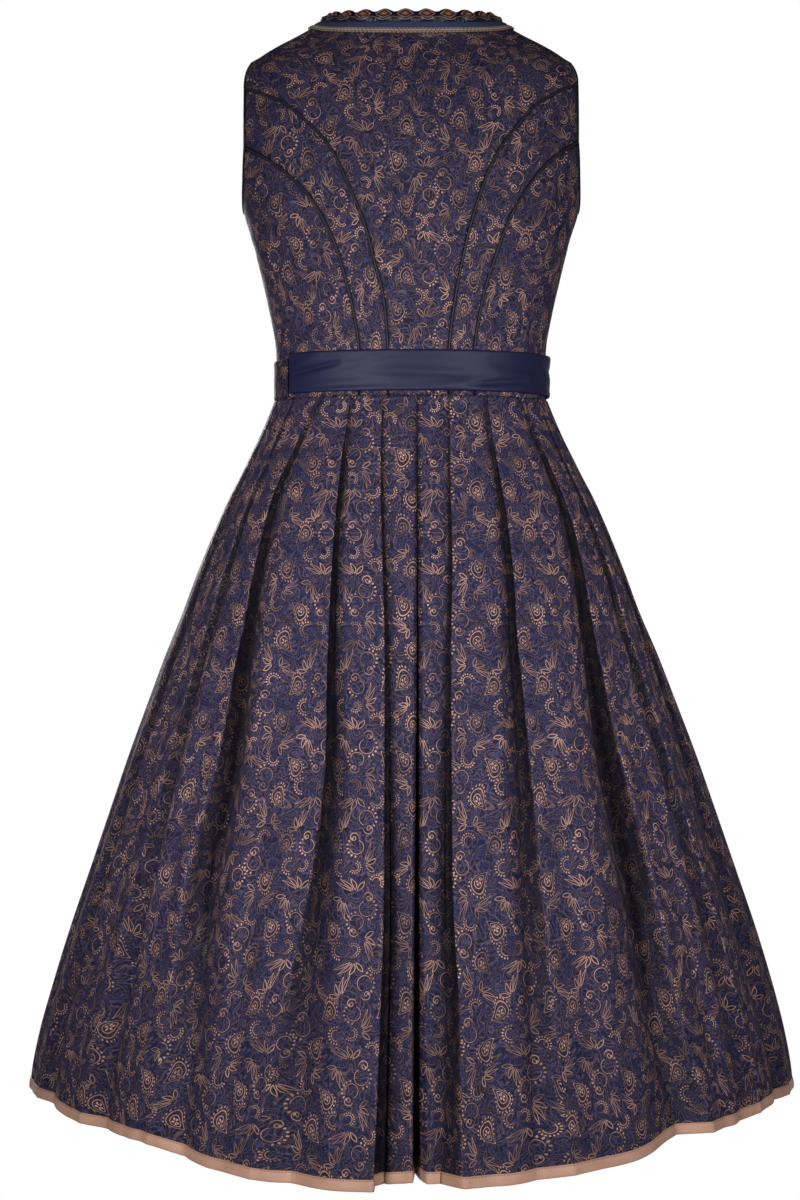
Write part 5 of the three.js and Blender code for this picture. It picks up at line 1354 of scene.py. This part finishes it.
left_folds = [
    {"turns": [-2, -1.8, -1.7, -1.6, -1.6, -1.6, -1.6, -1.7, -1.9],
     "depth": [4, 13, 38, 58], "drop": [1.5, 2, 3, 3], "under": (-1, 1)},
    {"turns": [10.5, 9.8, 8.8, 7.4, 6.4, 6.1, 6.0, 6.7, 7.8],
     "depth": [3.5, 10, 30, 40], "drop": [1.5, 2, 2.5, 3], "under": (-1,)},
    {"turns": [23.8, 23.4, 22.2, 20.9, 19.6, 18.2, 20.0, 23.3, 26.1],
     "depth": [3.5, 14, 27, 17], "drop": [1.5, 2, 8, 30], "under": (-1,)},
    {"turns": [40.1, 44.3, 46.6, 45.2, 43.4, 42.2, 43.8, 42.5, 42.6],
     "depth": [3.5, 15, 38, 24], "drop": [1.5, 2, 10, 34], "under": (-1,)},
    {"turns": [58, 59, 59, 58, 57.5, 57, 57, 57, 57],
     "depth": [3.5, 8, 14, 18], "drop": [1.5, 6, 20, 34], "under": (-1,)},
    {"turns": [76, 75, 74.5, 74, 73.5, 73, 73, 73, 73],
     "depth": [3.5, 7, 11, 16], "drop": [1.5, 6, 20, 34], "under": (-1,)},
    {"turns": [104, 105, 105.5, 106, 106.5, 107, 107, 107, 107],
     "depth": [3.5, 7, 11, 16], "drop": [1.5, 6, 18, 30], "under": (1,)},
    {"turns": [121, 121.5, 122, 122.5, 123, 123, 123, 123, 123],
     "depth": [3.5, 8, 14, 18], "drop": [1.5, 6, 18, 30], "under": (1,)},
    {"turns": [138, 137.5, 137, 137, 137, 137, 137, 137, 137],
     "depth": [3.5, 10, 18, 20], "drop": [1.5, 5, 16, 30], "under": (1,)},
    {"turns": [153, 153, 153, 153, 153, 153, 153, 153, 152],
     "depth": [3.5, 10, 18, 20], "drop": [1.5, 5, 16, 30], "under": (1,)},
    {"turns": [167, 168, 169, 170, 170, 170, 170, 170, 169],
     "depth": [3.5, 10, 20, 24], "drop": [1.5, 4, 10, 20], "under": (1,)},
    {"turns": [180] * 9,
     "depth": [4, 12, 26, 34], "drop": [1.5, 2, 6, 10], "under": (-1, 1)},
]
right_folds = [
    {"turns": [-14.2, -12.7, -11.3, -10.4, -9.1, -8.5, -8.3, -9.3, -9.6],
     "depth": [3.5, 10, 30, 33], "drop": [1.5, 2, 2.5, 14], "under": (1,)},
    {"turns": [-31, -29.2, -28.2, -26.9, -25.1, -24.7, -24.6, -24.7, -25.9],
     "depth": [3.5, 13, 24, 16], "drop": [1.5, 2, 9, 30], "under": (1,)},
    {"turns": [-51.5, -53, -53.7, -51.3, -47.7, -46.1, -47.3, -46.7, -49.9],
     "depth": [3.5, 15, 40, 30], "drop": [1.5, 2, 6, 26], "under": (1,)},
    {"turns": [-66, -66.5, -66.5, -65, -63, -62, -62, -62, -62],
     "depth": [3.5, 8, 13, 17], "drop": [1.5, 6, 18, 32], "under": (1,)},
    {"turns": [-80, -79.5, -79, -78, -77, -76.5, -76, -76, -76],
     "depth": [3.5, 7, 11, 16], "drop": [1.5, 6, 18, 32], "under": (1,)},
]
# Soft troughs and ridges between the pleats: where each starts and ends as turn and level, its
# half width and its height in millimetres, a trough with a negative height
skirt_creases = [
    (34, -470, 37, -900, 15, 5), (30, -640, 31, -1150, 12, -5), (50, -520, 51, -960, 14, 5),
    (53, -700, 54, -1150, 11, -6), (13, -600, 14, -1150, 16, 5), (18, -760, 21, -1150, 12, -5),
    (66, -560, 66, -1150, 13, 4), (80, -640, 81, -1150, 14, -5), (-19, -560, -19, -1150, 15, 5),
    (-15, -800, -14, -1150, 10, -4), (-34, -500, -34, -1000, 15, 5), (-30, -780, -31, -1150, 12, -4),
    (-40, -600, -39, -1150, 13, 4), (-57, -540, -56, -1150, 13, 5), (-52, -820, -54, -1150, 9, -4),
    (-70, -620, -70, -1150, 13, -5), (-84, -560, -85, -1150, 14, 4), (3, -640, 3, -1150, 7, 3),
    (-5, -700, -5, -1150, 6, 3), (44.5, -900, 47, -1150, 8, 4), (24, -940, 23, -1150, 10, 4),
    (114, -560, 115, -1150, 14, -5), (129, -620, 130, -1150, 13, -6),
    (145, -560, 145, -1150, 14, -5), (160, -600, 161, -1150, 12, -6), (-106, -600, -106, -1150, 10, -3),
    (-115, -640, -114, -1150, 14, -5), (-131, -580, -130, -1150, 13, -6),
    (-146, -620, -146, -1150, 14, -5),
    (-161, -560, -161, -1150, 12, -6), (174, -640, 174, -1150, 9, -4), (-175, -640, -174, -1150, 9, -4),
]
skirt_half = smooth_curve(skirt_sections["z"], skirt_sections["half"])
hem_curve = smooth_curve(hem_heights["turn"], hem_heights["z"])
sink_share = smooth_curve(FOLD_STAGES, [0.2, 0.3, 0.5, 0.6])


def with_curves(fold):
    """A fold of the table with its turn, depth and drop as smooth functions of the level."""
    return {
        "turn": smooth_curve(FOLD_LEVELS, fold["turns"]),
        "depth": smooth_curve(FOLD_STAGES, fold["depth"]),
        "drop": smooth_curve(FOLD_STAGES, fold["drop"]),
        "under": fold["under"],
    }


def mirrored(fold):
    """The same fold on the other side of the front."""
    turns = [-turn for turn in fold["turns"]]
    return {**fold, "turns": turns, "under": tuple(-side for side in fold["under"])}


def skirt_growth(level):
    """How far the level line has widened, from 0 at the waist to 1 at the hem."""
    waist_half = skirt_sections["half"][0]
    hem_half = skirt_sections["half"][-1]
    return (skirt_half(level) - waist_half) / (hem_half - waist_half)


def skirt_base(turn, level):
    """The unpleated level line: a superellipse in plan."""
    share = skirt_growth(level)
    bend = 2 / mix(skirt_powers["waist"], skirt_powers["hem"], share)
    across = signed_power(np.sin(np.radians(turn)), bend)
    along = signed_power(np.cos(np.radians(turn)), bend)
    behind = mix(skirt_depths["waist_back"], skirt_depths["hem_back"], share)
    before = mix(skirt_depths["waist_front"], skirt_depths["hem_front"], share)
    return np.stack([skirt_half(level) * across, np.where(along >= 0, behind, before) * along], axis=-1)


def skirt_along(turn, level):
    """The direction of the level line, towards larger turns."""
    return unit(skirt_base(turn + 0.2, level) - skirt_base(turn - 0.2, level))


def skirt_point(turn, level, offset):
    """A point of the skirt at an offset outwards from its level line."""
    base = skirt_base(turn, level)
    ahead = skirt_along(turn, level)
    hem = hem_curve(np.where(turn > 180, turn - 360, turn))
    x = base[..., 0] - ahead[..., 1] * offset
    y = base[..., 1] + ahead[..., 0] * offset
    z = mix(SKIRT_TOP_Z, hem, (level - SKIRT_TOP_Z) / (HEM_LEVEL - SKIRT_TOP_Z))
    return np.stack([x, y, z], axis=-1)


def crease_height(turn, level):
    """The sum of the soft troughs and ridges: each has a Gaussian section across, and rises and
    dies away along its length."""
    total = np.zeros(np.broadcast(turn, level).shape)
    for turn_0, level_0, turn_1, level_1, width, height in skirt_creases:
        along = (level - level_0) / (level_1 - level_0)
        here = mix(turn_0, turn_1, np.clip(along, 0, 1))
        across = np.radians(turn - here) * skirt_half(level)
        fade = np.sin(np.pi * np.clip(along, 0, 1)) ** 0.9 * np.clip((-1150 - level) / -200, 0.35, 1)
        total = total + height * fade * np.exp(-((across / width) ** 2))
    return total


def fold_roll(distance):
    """How far the cloth bulges near a fold's edge, and turns in at the edge, for distances from
    it: a wide Gaussian less a narrow one."""
    return 2.0 * np.exp(-((distance / 8) ** 2)) - 1.2 * np.exp(-((distance / 1.6) ** 2))


def fold_shade_strength(fold, depth, level):
    """How dark a fold's hollow is painted as shade, from 0.1 where the fold is open to 1 where it
    is sharp.
    """
    return np.clip(1 - fold["drop"](level) / 30, 0.1, 1) * np.clip(depth / 7, 0, 1)


def fold_undercut(fold, depth, level):
    """How far a wall swings back under its fold's edge, where the fold is sharp."""
    return 0.24 * depth * np.clip(1 - fold["drop"](level) / 8, 0, 1)


def skirt_panel(a, b, level, shift, begin, end):
    """One panel between folds a and b, as its points, cloth map and painted shade. Where the panel
    lies under a fold it starts with the wall down from that fold's edge; from there it rises to the
    level line. The pleat in the middle of the back has cloth under both sides."""
    start = a["turn"](level)
    stop = b["turn"](level)
    width = np.linalg.norm(skirt_base(start, level) - skirt_base(stop, level), axis=-1)
    sink = sink_share(level)
    centre_a = len(a["under"]) == 2
    centre_b = len(b["under"]) == 2
    under_a = 1 in a["under"] and begin == 0 and not centre_a
    under_b = -1 in b["under"] and end == 1 and not centre_b
    drop_a = a["drop"](level) / width if under_a else 0 * width + begin
    drop_b = b["drop"](level) / width if under_b else 0 * width + 1 - end
    depth_a = a["depth"](level) if 1 in a["under"] else 0 * width
    depth_b = b["depth"](level) if -1 in b["under"] else 0 * width
    floor = BOX_FLOOR * np.minimum(depth_a, depth_b)
    share = drop_a + (1 - drop_b - drop_a) * edged(PANEL_COLUMNS, 0.5)[None, :]

    def sunk(at):
        """How far the cloth lies back at a share of the panel's width: deepest under its edges,
        and nowhere higher than the pleat's floor."""
        from_a = depth_a * np.clip(1 - at / sink, 0, 1) ** SINK_POWER
        from_b = depth_b * np.clip(1 - (1 - at) / sink, 0, 1) ** SINK_POWER
        return -np.maximum(np.maximum(from_a, from_b), floor)

    hidden = np.abs(mix(start, stop, share)) > SHOWING_TURN
    open_height = np.clip((-370 - level) / 90, 0, 1)
    lift_a = 0 if 1 in a["under"] or begin > 0 else 1
    lift_b = 0 if -1 in b["under"] or end < 1 else 1
    roll = lift_a * fold_roll(share * width) + lift_b * fold_roll((1 - share) * width)
    offset = sunk(share) + roll * open_height * ~hidden
    from_a = (share - drop_a) * width
    from_b = (1 - drop_b - share) * width
    groove_a = centre_a * 0.3 * depth_a * np.exp(-((from_a / 3.5) ** 2))
    groove_b = centre_b * 0.3 * depth_b * np.exp(-((from_b / 3.5) ** 2))
    offset = offset - groove_a - groove_b
    # Painted shade: darkest on each wall and fading along the cloth that lies under the fold.
    shade_strength_a = fold_shade_strength(a, depth_a, level)
    shade_strength_b = fold_shade_strength(b, depth_b, level)
    reach_a = 1.8 if centre_a else 2.5 + 0.2 * depth_a
    reach_b = 1.8 if centre_b else 2.5 + 0.2 * depth_b
    shade = np.maximum(shade_strength_a * np.exp(-from_a / reach_a), shade_strength_b * np.exp(-from_b / reach_b))
    parts = [(share, offset, share * width, shade)]
    edge_lift = 0.8 * open_height * (np.abs(start) < SHOWING_TURN)
    if under_a:
        t = np.linspace(0, 1, WALL_COLUMNS)[None, :-1]
        at = drop_a * t - fold_undercut(a, depth_a, level) * np.sin(np.pi * t) / width
        down = mix(edge_lift, sunk(drop_a), t)
        walked = drop_a * width - depth_a * (1 - t)
        parts.insert(0, (at, down, walked, shade_strength_a * np.clip(t * 5, 0, 1)))
    if under_b:
        t = np.linspace(1, 0, WALL_COLUMNS)[None, 1:]
        at = 1 - drop_b * t + fold_undercut(b, depth_b, level) * np.sin(np.pi * t) / width
        down = mix(edge_lift, sunk(1 - drop_b), t)
        walked = width * (1 - drop_b) + depth_b * (1 - t)
        parts.append((at, down, walked, shade_strength_b * np.clip(t * 5, 0, 1)))
    shares, offsets, lengths, shades = (np.concatenate(part, axis=1) for part in zip(*parts))
    turn = mix(start, stop, shares)
    creases = crease_height(turn, level)
    creases = np.where(np.abs(turn) > SHOWING_TURN, np.minimum(creases, 0), creases)
    points = skirt_point(turn, level, offsets + creases)
    if lift_b and not lift_a:
        lengths = lengths - width
    grid_map = np.stack([lengths + shift, points[..., 2]], axis=-1)
    return points, grid_map, shades


left_ring = [with_curves(fold) for fold in left_folds]
back_right_ring = [with_curves(fold) for fold in right_folds]
front_right_ring = [with_curves(mirrored(fold)) for fold in left_folds[6:]]
right_ring = [left_ring[0], *back_right_ring, *front_right_ring][::-1]
SIDE_SHARE = 0.5
UPPER_FOOT = -420
UPPER_ROWS = 23
skirt_levels = np.concatenate([
    np.linspace(SKIRT_TOP_Z, UPPER_FOOT, UPPER_ROWS + 1)[:-1],
    np.linspace(UPPER_FOOT, HEM_LEVEL, SKIRT_ROWS - UPPER_ROWS)])[:, None]


def ring_panels(ring, first, last, level, shift):
    """The panels of a ring of folds from one place to another; a place ending in a half lies in
    the middle of a panel, at the side seam."""
    panels = []
    for i in range(math.floor(first), math.ceil(last)):
        begin = max(0.0, first - i)
        end = min(1.0, last - i)
        panel_shift = shift + PANEL_SHIFT * (i % 5)
        panels.append(skirt_panel(ring[i], ring[i + 1], level, panel_shift, begin, end))
    return panels


skirt_cuts = [
    ("skirt_back_left", left_ring, 0, 5 + SIDE_SHARE, 0, (0.72, 0.72)),
    ("skirt_front_left", left_ring, 5 + SIDE_SHARE, 11, 8, (0.72, 0.71)),
    ("skirt_front_right", right_ring, 0, 5 + SIDE_SHARE, 61, (0.72, 0.71)),
    ("skirt_back_right", right_ring, 5 + SIDE_SHARE, 11, 31, (0.72, 0.72)),
]
for cut_name, ring, first, last, shift, cut_flat in skirt_cuts:
    panels = ring_panels(ring, first, last, skirt_levels, shift)
    cloth_piece(cut_name + "_cloth", panels, jacquard, [cut_name])

# Hem binding
# A strip of copper satin folded over the hem all the way round, 10 mm high outside, with a line
# of small stitches near its upper edge.
SLOPE_RUN = 12.0
STITCH_HEIGHT = 8.6
STITCH_WIDTH = 0.6
STITCH_PITCH = 3.0
STITCH_SHARE = 0.66
hem_profile = {
    "up": [10, 9.6, 8, 5, 2, 0.4, -0.5, -0.6, 0.3, 3, 6],
    "out": [0.2, 0.7, 1.0, 1.15, 1.1, 0.95, 0.3, -1.2, -2.0, -2.2, -2.2],
}


def binding_material():
    """Copper satin with a dashed stitch line, by the height above the hem in the cloth map."""
    material, tree, shader, cloth_map = new_material("copper_satin", 0.36)
    weave = use_group(tree, satin_weave, {"Cloth": cloth_map, "Pitch": 0.6})
    along, up = along_and_up(tree, cloth_map)
    line = thread_line(tree, calc(tree, "SUBTRACT", up, STITCH_HEIGHT), STITCH_WIDTH)
    beat = calc(tree, "FRACT", calc(tree, "DIVIDE", along, STITCH_PITCH))
    dash = calc(tree, "LESS_THAN", beat, STITCH_SHARE)
    stitch = calc(tree, "MULTIPLY", calc(tree, "MULTIPLY", line, dash), 0.6)
    share = calc(tree, "MULTIPLY_ADD", weave["Cloud"], 2.0, -0.5, clamp=True)
    satin = blend_colours(tree, share, (0.56, 0.325, 0.235, 1), (0.42, 0.232, 0.165, 1))
    colours = blend_colours(tree, stitch, satin, (0.05, 0.028, 0.02, 1))
    tree.links.new(colours, shader.inputs["Base Color"])
    shader.inputs["Specular IOR Level"].default_value = 0.15
    add_bump(tree, shader, weave["Height"], 0.04, 0.3)
    return material


def binding_grid():
    """The strip's section carried round the hem: each point goes up the skirt's own slope, and
    out along the level normal of the hem line."""
    low_levels = np.array([[HEM_LEVEL], [HEM_LEVEL + SLOPE_RUN]])
    panels = [
        *ring_panels(left_ring, 0, 11, low_levels, 0), *ring_panels(right_ring, 0, 11, low_levels, 0)]
    ring = np.concatenate([panel[0][:, :-1] for panel in panels], axis=1)
    ring = np.concatenate([ring, ring[:, :1]], axis=1)
    low = ring[0]
    slope = (ring[1] - ring[0]) / SLOPE_RUN
    along = np.roll(low[:-1], -1, axis=0) - np.roll(low[:-1], 1, axis=0)
    along = np.concatenate([along, along[:1]])
    out = unit(np.stack([-along[:, 1], along[:, 0], 0 * along[:, 0]], axis=-1))
    length = lengths_along(low)
    up = np.array(hem_profile["up"])[:, None]
    outwards = np.array(hem_profile["out"])[:, None]
    points = low[None] + slope[None] * up[..., None] + out[None] * outwards[..., None]
    return points, np.stack(np.broadcast_arrays(length[None, :], up), axis=-1)


cloth_piece(
    "hem_binding_strip", [binding_grid()], binding_material(), ["hem_binding"],
    0.5)

# Apron
# A gathered panel in front of the skirt, from side to side, in a darker jacquard with larger,
# sparser figures, and its waistband, which shows at the left end of the tie.
APRON_TURN = 98.0
APRON_TOP_Z = SKIRT_TOP_Z - 0.4
APRON_FOOT_LIFT = 24
APRON_WAVES = 13
APRON_CLOTH_WIDE = 900
APRON_ROWS = 90
APRON_COLUMNS = 340
BAND_TALL = 40
BAND_MM_PER_DEGREE = 2.1
apron_jacquard = jacquard_material(
    "apron_jacquard", 0.72, (0.010, 0.010, 0.026), (0.019, 0.021, 0.056), (0.34, 0.19, 0.14),
    (0.10, 0.06, 0.052))


def apron_grid():
    """Gathers round the level line of the skirt: waves that grow to the hem, uneven in height,
    with finer ones between them near the waist."""
    turn = np.linspace(APRON_TURN, 360 - APRON_TURN, APRON_COLUMNS)[None, :]
    level = np.linspace(APRON_TOP_Z, HEM_LEVEL + APRON_FOOT_LIFT, APRON_ROWS)[:, None]
    share = (turn - APRON_TURN) / (360 - 2 * APRON_TURN)
    swell = (1 - np.cos(2 * np.pi * APRON_WAVES * share)) / 2
    uneven = 0.82 + 0.18 * np.sin(share * 37 + 1.3) + 0 * level
    grown = skirt_growth(level)
    fine = 0.8 * np.cos(2 * np.pi * APRON_WAVES * 2 * share) * np.exp(-(((level - WAIST_Z) / 60) ** 2))
    wave = (1.5 + 10 * grown) * swell * uneven + fine + 0.8
    wave = wave * np.clip(np.minimum(share, 1 - share) * 40, 0, 1)
    points = skirt_point(turn + 0 * level, level + 0 * turn, 2.0 + wave)
    points[..., 2] = np.minimum(APRON_TOP_Z, points[..., 2])
    across = share * APRON_CLOTH_WIDE + 0 * level
    return points, np.stack([across, points[..., 2]], axis=-1)


cloth_piece("apron_panel_cloth", [apron_grid()], apron_jacquard, ["apron_panel"],
            1.1)


def waist_grid(band_top, band_bottom, from_turn, to_turn, lift, columns, creases):
    """A band round the waist at a height above the bodice: a soft belly, rolled edges, and its
    own creases, which are given by place along the waist and height."""
    turn = np.linspace(from_turn, to_turn, columns)[None, :]
    share = np.linspace(0, 1, 26)[:, None]
    z = mix(band_bottom, band_top, share)
    along = turn * BAND_MM_PER_DEGREE + 0 * z
    points = body_point(turn + 0 * z, z + 0 * turn)
    from_edge = np.minimum(share, 1 - share) * BAND_TALL
    belly = 0.9 * np.sin(np.pi * share) ** 0.5 + 0.5 * np.exp(-((from_edge / 2.2 - 1) ** 2))
    points = points + grid_normals(points) * (lift + belly)[..., None]
    place = np.stack([along, z + 0 * turn], axis=-1)
    points = creased(points, creases, place)
    return points, place


cloth_piece(
    "apron_waistband_cloth", [waist_grid(-315, -353, 62, 232, 2.0, 260, [])], apron_jacquard,
    ["apron_waistband"], 1.2)

# Tie and bow
# The apron's tie of navy satin runs from the left end of the waistband round the back to a bow at
# the right front: a knot, two loops and two hanging tails, all of soft satin.
BOW_TURN = -151.0
BOW_Z = -331.0
KNOT_LIFT = 11.3
KNOT_HALF = {"up": 9.4, "across": 9.6, "out": 6.4}
LOOP_FOOT = 10.3
LOOP_REACH = 60
TAIL_FOOT = 9.3
TAIL_LENGTH = 330
TIE_CLOUDY = 0.35
tie_creases = [
    (124, -333, 62, -322, 2.6, -2.4), (120, -324, 80, -314, 4, 1.0), (110, -345, 20, -341, 5, -1.2),
    (60, -318, -40, -321, 6, 0.9), (40, -331, -70, -334, 4, -1.0), (-6, -346, -60, -342, 4, 1.0),
    (-48, -343, -112, -338, 3, -2.0), (-70, -322, -150, -330, 5, -1.3),
    (-100, -346, -160, -344, 4, 1.3), (10, -314, 60, -326, 4, -0.8),
    (-150, -320, -230, -332, 5, -1.4), (-180, -342, -260, -336, 5, -1.4),
    (-210, -316, -290, -322, 5, 1.0),
]


def tie_material():
    """A plain satin: navy with slow changes towards a lighter navy, and fine floats."""
    material, tree, shader, cloth_map = new_material("tie_satin", 0.5)
    weave = use_group(tree, satin_weave, {"Cloth": cloth_map, "Pitch": 0.7})
    share = calc(tree, "MULTIPLY_ADD", weave["Cloud"], TIE_CLOUDY * 3, -TIE_CLOUDY, clamp=True)
    colours = blend_colours(tree, share, (0.0078, 0.0086, 0.034, 1), (0.012, 0.013, 0.048, 1))
    tree.links.new(colours, shader.inputs["Base Color"])
    shader.inputs["Specular IOR Level"].default_value = 0.22
    add_bump(tree, shader, weave["Height"], 0.04, 0.3)
    return material


tie_satin = tie_material()
cloth_piece(
    "waist_tie_cloth", [waist_grid(-310, -350, 59, -146, 4.2, 420, tie_creases)], tie_satin,
    ["waist_tie"], 1.3)

seat_point = body_point(BOW_TURN, BOW_Z)
seat_out = unit(body_normals(seat_point[0], seat_point[2], True) * np.array([1, 1, 0]))
seat_across = np.array([-seat_out[1], seat_out[0], 0])
seat_centre = seat_point + seat_out * KNOT_LIFT


def knot_grid():
    """The knot: a rounded block, wider in the middle, with folds that run over it."""
    polar_turn = np.linspace(0.02, 0.98, 30)[:, None] * np.pi
    round_turn = np.linspace(-np.pi, np.pi, 49)[None, :]
    up = KNOT_HALF["up"] * signed_power(np.cos(polar_turn), 0.7) + 0 * round_turn
    ring = np.sin(polar_turn) ** 0.55
    folds = 1 + 0.05 * np.sin(3 * round_turn + up * 0.3) + 0.04 * np.sin(7 * round_turn)
    across = KNOT_HALF["across"] * ring * signed_power(np.sin(round_turn), 0.75) * folds
    out = KNOT_HALF["out"] * ring * signed_power(np.cos(round_turn), 0.75) * folds
    points = (seat_centre + seat_across * across[..., None] + seat_out * out[..., None]
              + np.array([0, 0, 1]) * up[..., None])
    return points, np.stack([across + out, up], axis=-1)


knot_points, knot_map = knot_grid()
knot_mesh = solid_mesh("bow_knot_satin", knot_points, knot_map, tie_satin)
place_piece("bow_knot_satin", knot_mesh, ["bow_knot"])


def loop_grid(hand):
    """A loop: a strip out from the knot and back, narrow at its foot and sagging at its end,
    with creases that fan from the knot."""
    share = np.linspace(0, 1, 90)[:, None]
    side = np.linspace(-1, 1, 25)[None, :]
    angle = np.pi * share
    reach = np.sin(angle)
    wide = mix(11, 34, reach ** 0.6)
    fan = 1.3 * np.cos(side * 7.5 + hand) * (1 - reach) ** 0.6 * np.clip(reach * 6, 0, 1)
    crease = fan + 0.7 * np.cos(side * 4)
    across = hand * (LOOP_FOOT + LOOP_REACH * reach)
    out = 1 - np.cos(angle) * (3 + 7 * reach) + crease * np.sign(np.cos(angle)) * 0.6
    rise = -14 * reach * reach + side * wide / 2
    at = (seat_centre + seat_across * across[..., None] + seat_out * out[..., None]
          + np.array([0, 0, 1]) * rise[..., None])
    return at, np.stack([share * 150 + 0 * side, side * 20 + 0 * share], axis=-1)


def tail_grid(hand):
    """A tail: a strip that hangs from the knot in front of the apron, wider from a third of its
    length, with long soft waves."""
    share = np.linspace(0, 1, 110)[:, None]
    side = np.linspace(-1, 1, 19)[None, :]
    z = BOW_Z - TAIL_FOOT - TAIL_LENGTH * share
    turn = BOW_TURN + hand * (3 + 6.5 * np.sqrt(share))
    level = np.minimum(z, SKIRT_TOP_Z)
    on_skirt = np.concatenate([skirt_base(turn, level), z[..., None]], axis=-1)
    base = np.where(z[..., None] > SKIRT_TOP_Z, body_point(turn, z), on_skirt)
    away = unit(base * np.array([1, 1, 0]))
    lift = mix(9, 20, np.minimum(1, share / 0.4)) + (5 if hand > 0 else 0)
    wide = mix(11, 36, np.minimum(1, share / 0.33))
    wave = 1.6 * np.sin(side * 2.4 + share * 3 + hand) * np.minimum(1, share * 4)
    sideways = np.stack([-away[..., 1], away[..., 0], 0 * away[..., 0]], axis=-1)
    points = base + away * (lift + wave)[..., None] + sideways * (side * wide / 2)[..., None]
    return points, np.stack([side * 20 + 0 * share, -TAIL_LENGTH * share + 0 * side], axis=-1)


for hand, side_name in ((1, "left"), (-1, "right")):
    cloth_piece("bow_loop_" + side_name + "_satin", [loop_grid(hand)], tie_satin,
                ["bow_loop_" + side_name], 1.3)
    cloth_piece("bow_tail_" + side_name + "_satin", [tail_grid(hand)], tie_satin,
                ["bow_tail_" + side_name], 1.3)

# Buttons
# Seven domed buttons of antique copper down the front edge, each with a beaded rim and a plain
# rosette in low relief.
BUTTON_RADIUS = 6.0
BUTTON_COUNT = 7
BUTTON_TOP_Z = -152.0
BUTTON_STEP = 23
BUTTON_SEAT = 0.6
BUTTON_HEIGHT = 3.6
PETALS = 8
RIM_BEADS = 30
button_profile = {
    "r": [0.0, 0.5, 0.56, 0.9, 1.0, 1.02, 0.98, 0.9, 0.84, 0.8, 0.74, 0.6, 0.4, 0.2, 0.0],
    "h": [0.0, 0.0, 0.1, 0.22, 0.34, 0.46, 0.58, 0.62, 0.56, 0.56, 0.68, 0.84, 0.95, 1.0, 1.02],
}


def button_material():
    """Antique copper: bright on the relief and dark in its hollows, by the ring and the turn
    that the cloth map holds."""
    material, tree, shader, cloth_map = new_material("antique_copper", 0.34)
    turn, ring = along_and_up(tree, cloth_map)
    petals = calc(tree, "COSINE", calc(tree, "MULTIPLY", turn, PETALS * 2 * math.pi))
    inner = calc(tree, "LESS_THAN", ring, 0.7)
    beads = calc(tree, "COSINE", calc(tree, "MULTIPLY", turn, RIM_BEADS * 2 * math.pi))
    relief = calc(tree, "ADD", calc(tree, "MULTIPLY", petals, inner),
                  calc(tree, "MULTIPLY", beads, calc(tree, "SUBTRACT", 1.0, inner)))
    light = calc(tree, "MULTIPLY_ADD", relief, 0.5, 0.5, clamp=True)
    colours = blend_colours(tree, light, (0.07, 0.035, 0.02, 1), (0.55, 0.30, 0.19, 1))
    tree.links.new(colours, shader.inputs["Base Color"])
    shader.inputs["Metallic"].default_value = 0.85
    add_bump(tree, shader, relief, 0.5, 0.7)
    return material


antique_copper = button_material()
profile_place = np.linspace(0, 14, 57)
button_r = np.interp(profile_place, range(15), button_profile["r"])[:, None]
button_h = np.interp(profile_place, range(15), button_profile["h"])[:, None]
button_turn = np.linspace(0, 1, 49)[None, :]
for number in range(BUTTON_COUNT):
    button_z = BUTTON_TOP_Z - BUTTON_STEP * number
    seat = body_point(180.0, button_z)
    out = body_normals(np.array([0.0]), np.array([button_z]), True)[0]
    right = np.array([1.0, 0, 0])
    up = np.cross(out, right)
    around = 2 * np.pi * button_turn
    ring = right * np.cos(around)[..., None] + up * np.sin(around)[..., None]
    rise = out * (BUTTON_SEAT + BUTTON_HEIGHT * button_h[..., None])
    button_points = seat + rise + ring * (BUTTON_RADIUS * button_r)[..., None]
    button_map = np.stack(np.broadcast_arrays(button_turn, button_r), axis=-1)
    button_name = "button_%d" % (number + 1)
    button_mesh = solid_mesh(button_name + "_copper", button_points, button_map, antique_copper)
    place_piece(button_name + "_copper", button_mesh, [button_name])
